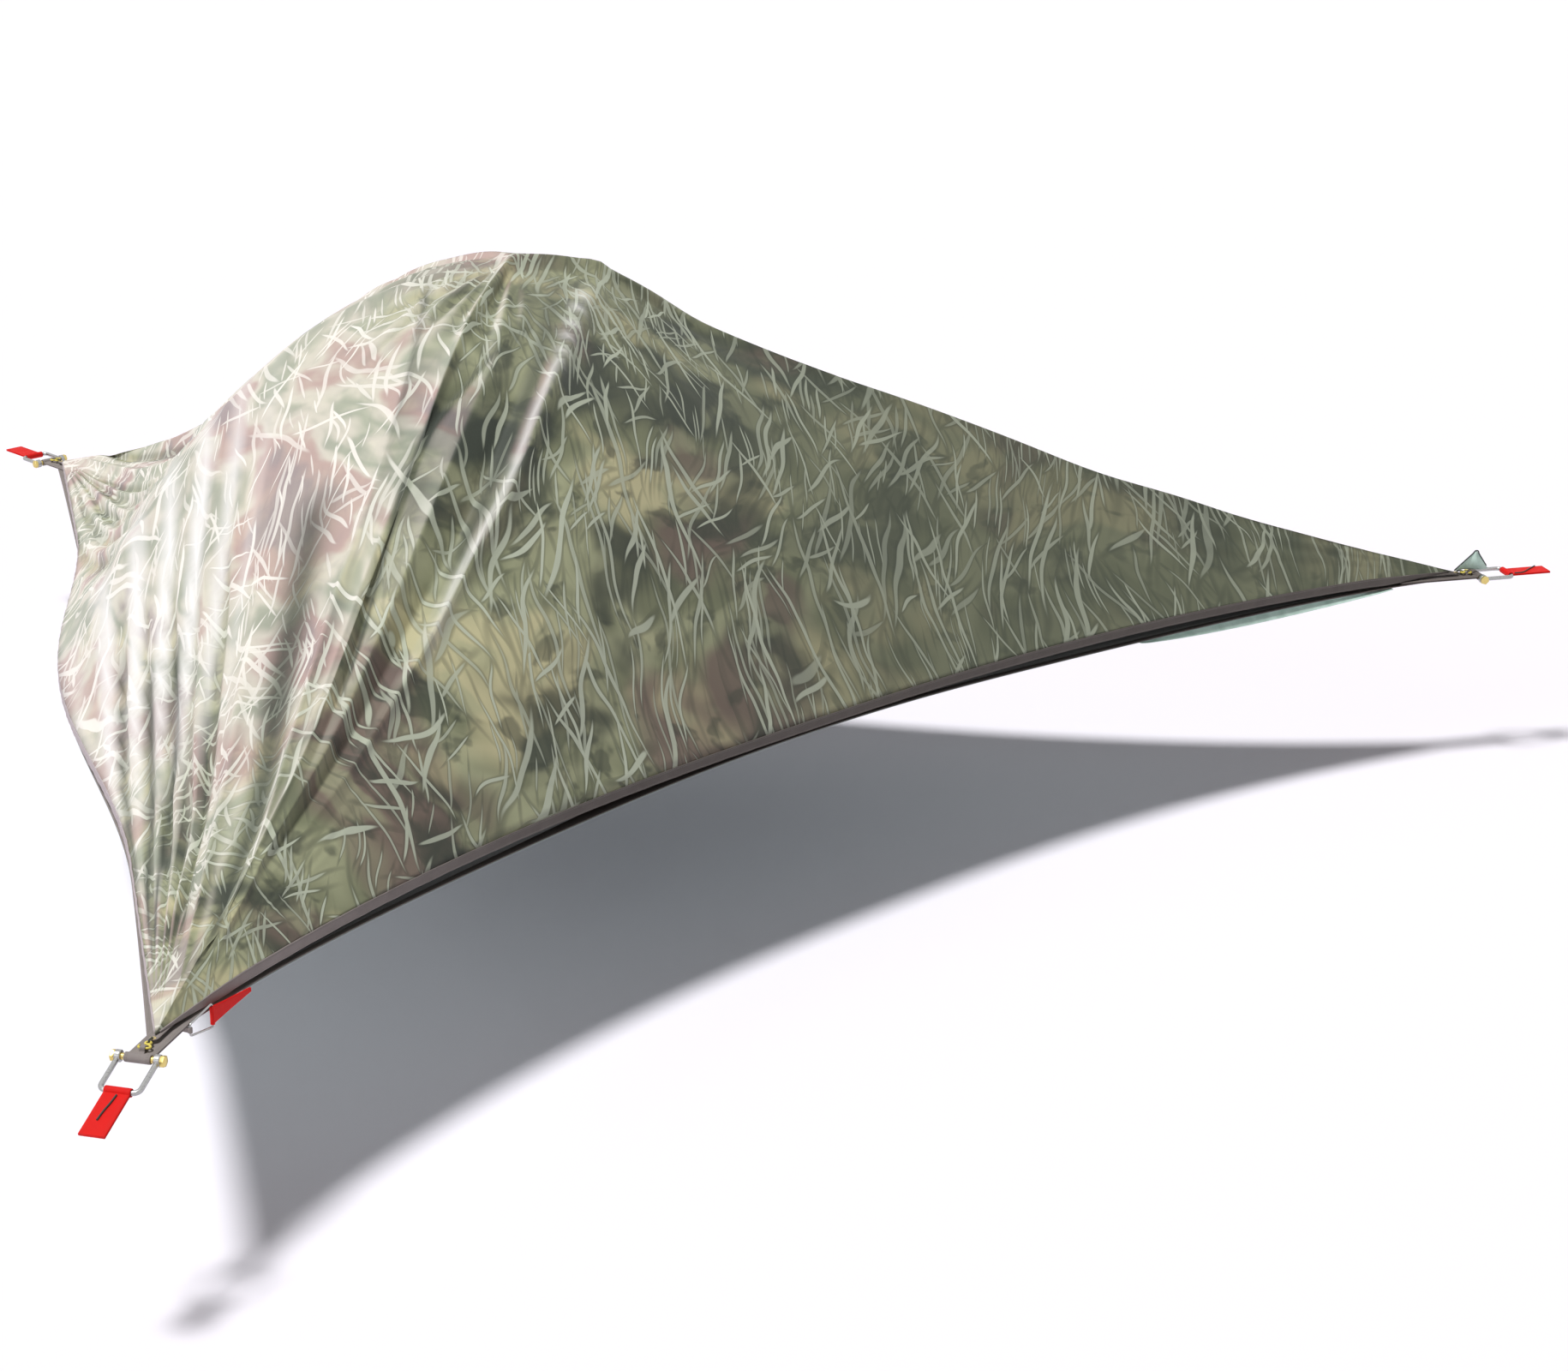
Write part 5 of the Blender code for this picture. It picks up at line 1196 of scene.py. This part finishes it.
def makeHook(key):
    # open hook and closed eye in one bent rod, level above the loop
    wide, bend = hook["half"], hook["half"] / 2
    bendAt = hookKeeper["at"] - bend
    line = np.concatenate([[[hook["eyeAt"] + hook["eye"], 0], [hook["eyeAt"] + 2 * hook["eye"], wide * 0.8]],
                           arcLine((bendAt, wide - bend), bend, math.pi / 2, 0, 8),
                           arcLine((bendAt, bend - wide), bend, 0, -math.pi / 2, 8),
                           [[hookKeeper["at"] - hook["back"], -wide]]])
    line = smoothPath(lifted(line, corner["height"]), 70)
    taper = hook["rod"] * (1 - hook["taper"] * np.clip(np.linspace(-5, 1, 70), 0, 1) ** 2)
    ring = lifted(arcLine((hook["eyeAt"], 0), hook["eye"], 0, 2 * math.pi, 36)[:-1], corner["height"])
    addParts("flyHook" + key.upper(), [tubeParts(atCorner(line, key), taper, [0, 0, 1]),
                                       tubeParts(atCorner(ring, key), hook["rod"], [0, 0, 1], closed=True)],
             yellowFinish, replaced="fly_hook_" + key, slot="yellow_plastic")


def makeBungee(key, side):
    # elastic loop through the hook's eye and the tab's hole: four quarter bends of one rounded ring
    bend, high = bungee["bend"], bungee["tall"] - bungee["bend"]
    right = hook["eyeAt"] - hook["eye"] + hook["rod"] + bungee["cord"] - bend
    left = tab["hole"] + bungee["inHole"] + bend
    bends = ((right, high, 0), (left, high, 1), (left, -high, 2), (right, -high, -1))
    line = np.concatenate([arcLine((x, z), bend, turn * math.pi / 2, (turn + 1) * math.pi / 2, 6)
                           for x, z, turn in bends])
    line = atCorner(upright(line, corner["height"]), key)
    addParts("flyBungee" + key.upper(), [tubeParts(line, bungee["cord"], side, 12, closed=True)],
             cordFinish, replaced="fly_bungee_" + key, slot="dark_cord")


def makeTab(key, side):
    # a flat tab whose front end is rounded: width * sqrt(1 - t^2); with an eyelet
    run = np.linspace(tab["tail"], tab["front"], 60)
    end = np.clip((run - tab["roundFrom"]) / tab["round"], 0, 0.995)
    width = tab["width"] * np.sqrt(1 - end ** 2)
    line = atCorner(lifted(np.stack([run, 0 * run], -1), corner["height"]), key)
    addBands("flyTab" + key.upper(), [ribbon(line, side, width, tab["thick"])], hemFinish,
             replaced="fly_corner_tab_" + key, slot="hem_webbing")
    place = atCorner([tab["hole"], 0, corner["height"]], key)
    addParts("tabEyelet" + key.upper(), [latheParts(tab["eyelet"], place, [0, 0, 1], 28, hollow=True)],
             brassFinish)


# A triangle of cloth stands at corner B; short cords are sewn across the red straps at A and B
tip = {"cloth": ((-0.062, 0.0150), (-0.004, 0.0640), (0.029, 0.0150)), "bulge": 0.010, "thick": 0.0006,
       "cord": 0.0016, "cordAbove": 0.0012,
       "over": {"a": ((0.0940, 0.0030), (0.1120, 0.0010), (0.1350, -0.0030), (0.1560, -0.0050)),
                "b": ((0.0940, -0.0215), (0.1150, -0.0200), (0.1420, 0.0000), (0.1700, 0.0225))}}


def makeCornerTip(key):
    # a triangle of cloth standing on the loop, waved by cos(pi t / 2) sin(pi s), with a cord round it
    left, peak, right = upright(tip["cloth"])
    across, up = np.meshgrid(np.linspace(0, 1, 17), np.linspace(0, 0.97, 15), indexing="ij")
    base = left + across[..., None] * (right - left)
    sheet = base + up[..., None] * (peak - base)
    sheet[..., 1] += (tip["bulge"] * np.sin(np.pi * across) * np.cos(np.pi * up * 0.5)
                      * np.sin(5 * across + 3 * up))
    edge = np.concatenate([sheet[0], sheet[1:, -1], sheet[-1, ::-1][1:]])
    edge = smoothPath(edge[::3] + [0, 0, tip["cordAbove"]], 90)
    sheet, edge = (atCorner(points, key, corner["pin"]) for points in (sheet, edge))
    addSheet("cornerTip" + key.upper(), sheet, gridFaces(*sheet.shape[:2]), sheerFinish, tip["thick"],
             (0.0980, 0.0530), ["corner_loop_" + key])
    addParts("cornerCord" + key.upper(), [tubeParts(edge, tip["cord"], [0, 1, 0.01], 10)], cordFinish)


def makeStrapCord(key):
    # a cord sewn across the red strap's upper layer
    run = smoothPath([(x, y, webbing["thick"] + 0.0001 + tip["cord"]) for x, y in tip["over"][key]], 50)
    line = atCorner(run, key, corner["pin"], corner["droop"][key])
    addParts("strapCord" + key.upper(), [tubeParts(line, tip["cord"], [0, 0, 1], 10)], cordFinish,
             body="anchor_strap_" + key)


# Ring and pull tab under the webbing loop at corner A
pull = {"from": 0.100, "standoff": 0.0140, "level": -0.0078, "rod": 0.0020, "length": 0.068, "small": 0.016,
        "large": 0.044, "keeperTall": 0.010, "keeperTail": 0.036, "tape": 0.0018, "tab": 0.120,
        "tabWide": 0.036, "tabNarrow": 0.008}


def makePull():
    # ring: a closed rod along a rounded outline, in a frame that stands on the front edge; a keeper
    # doubled round its small end and a tapered tab round its large one
    share = np.array([pull["from"] / plan["span"]])
    normal = edgeNormal("front", share)[0]
    base = np.append(edgeLine("front", share)[0] + normal * pull["standoff"], pull["level"])
    ways = np.array([[-normal[1], normal[0], 0], [-normal[0], -normal[1], 0], [0, 0, 1]])
    rod, tape, bend = pull["rod"], pull["tape"], pull["rod"] * 1.5
    small, large, length = pull["small"] / 2, pull["large"] / 2, pull["length"]
    half = [(0, 0), (0, -small), (bend * 0.4, -small - bend * 0.7), (bend * 1.4, -small - bend * 1.2),
            (length - bend, -large), (length - bend * 0.3, -large + bend * 0.3), (length, -large + bend),
            (length, 0)]
    line = np.array([(0, small)] + half + [(x, -z) for x, z in half[-2:1:-1]] + [(0, small)])
    ring = upright(resample(line, 121)[:-1]) @ ways + base
    addParts("tensionRing", [tubeParts(ring, rod, ways[1], closed=True)], steelFinish,
             body="tension_ring", replaced="tension_ring", slot="steel")
    hole = rod + corner["barGap"]
    keeper = doubledPath(0, hole, tape, pull["keeperTail"], 90)[:, [2, 0, 1]] * [1, -1, 1]
    addBands("ringKeeper", [ribbon(keeper @ ways + base, [0, 0, 1], pull["keeperTall"], tape)],
             loadFinish, replaced="ring_keeper", slot="load_webbing")
    tail = doubledPath(length, hole, tape, -pull["tab"], 130)[:, [0, 2, 1]]
    part = np.clip((tail[:, 0] - length) / pull["tab"], 0, 1)
    width = pull["tabWide"] + (pull["tabNarrow"] - pull["tabWide"]) * part ** 0.8
    addBands("redPullTab", [ribbon(tail @ ways + base, [0, 0, 1], width, tape)],
             redFinish, body="red_pull_tab", replaced="red_pull_tab", slot="red_webbing")


for edge in edgeEnds:
    makeHemTape(edge)
    makeEdgeStrap(edge)
    makeFloorBay(edge)
for key in cornerTurn:
    side = np.append(sideways(key), 0)
    for makePart in (makeCrossStrap, makeCornerLoop, makeShackle, makePin, makeAnchorStrap):
        makePart(key, side)
    makeHook(key)
    makeBungee(key, side)
    makeTab(key, side)
makeCornerTip("b")
makeStrapCord("a")
makeStrapCord("b")
makeFloorLip()
makeHatch()
print("floor, straps and corners made")
makeCanopy()
makePull()
print("canopy and pull tab made")

# Rigid nodes that keep their own mesh get a better finish
cups = ["pole_cup_" + end for end in ("rear", "front", "near", "far")]
sections = [f"{pole}_pole_section_{number}" for pole in ("long", "cross") for number in (1, 2, 3)]
for finish, names in ((poleFinish, sections), (blackFinish, ["pole_crossing_hub"] + cups),
                      (brassFinish, ["hatch_slider_front", "hatch_slider_back"])):
    for name in names:
        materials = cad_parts[name].data.materials
        materials.clear()
        materials.append(finish)


# Light, floor and camera: the two lamps are (name, strength, way, width in degrees)
stage = {"floorDrop": 0.47, "floorReach": 60.0, "floorTone": (0.95, 0.918, 0.985, 1.0), "world": 0.18,
         "lamps": (("sun", 2.85, (0.32, 0.11, -1.0), 11.0), ("side", 0.3, (0.90, 0.30, -0.40), 20.0)),
         "camera": (0.437, -0.222, -0.060), "azimuth": -14.23, "elevation": 19.29, "distance": 7.5,
         "lens": 74.2, "sensor": 36.0}


def makeWorld(scene):
    # plain white to the camera and in reflections, and only a share of it as light
    scene.world = bpy.data.worlds.new("studio")
    scene.world.use_nodes = True
    tree = scene.world.node_tree
    rays = addNode(tree, "ShaderNodeLightPath").outputs
    seen = calc("MAXIMUM", calc("MAXIMUM", rays["Is Camera Ray"], rays["Is Glossy Ray"]),
                rays["Is Transmission Ray"])
    background = tree.nodes["Background"].inputs
    background["Color"].default_value = (1.0, 1.0, 1.0, 1.0)
    tree.links.new(timesPlus(seen, 1.0 - stage["world"], stage["world"]), background["Strength"])


def makeStage():
    # a wide floor, lamps turned to their ways, and the camera back along azimuth and elevation
    scene = bpy.context.scene
    scene.view_settings.view_transform = "Standard"
    makeWorld(scene)
    material, _ = newFinish("studio_floor", 0.9, Base_Color=stage["floorTone"])
    mesh = bpy.data.meshes.new("studioFloor")
    mesh.from_pydata([(x * stage["floorReach"], y * stage["floorReach"], -stage["floorDrop"])
                      for x, y in ((-1, -1), (1, -1), (1, 1), (-1, 1))], [], [(0, 1, 2, 3)])
    mesh.materials.append(material)
    placeObject("studioFloor", mesh)
    for name, energy, way, width in stage["lamps"]:
        lamp = bpy.data.lights.new(name, "SUN")
        lamp.energy, lamp.angle = energy, math.radians(width)
        x, y, z = unit(np.array(way))
        placeObject(name, lamp).rotation_euler = (math.acos(-z), 0.0, math.atan2(-x, y))
    camera = bpy.data.cameras.new("camera")
    camera.lens, camera.sensor_width = stage["lens"], stage["sensor"]
    turn, lift = math.radians(stage["azimuth"]), math.radians(stage["elevation"])
    back = np.array([math.sin(turn) * math.cos(lift), -math.cos(turn) * math.cos(lift), math.sin(lift)])
    scene.camera = placeObject("camera", camera)
    scene.camera.location = np.array(stage["camera"]) + back * stage["distance"]
    scene.camera.rotation_euler = (math.pi / 2 - lift, 0.0, turn)


makeStage()
print("stage set")
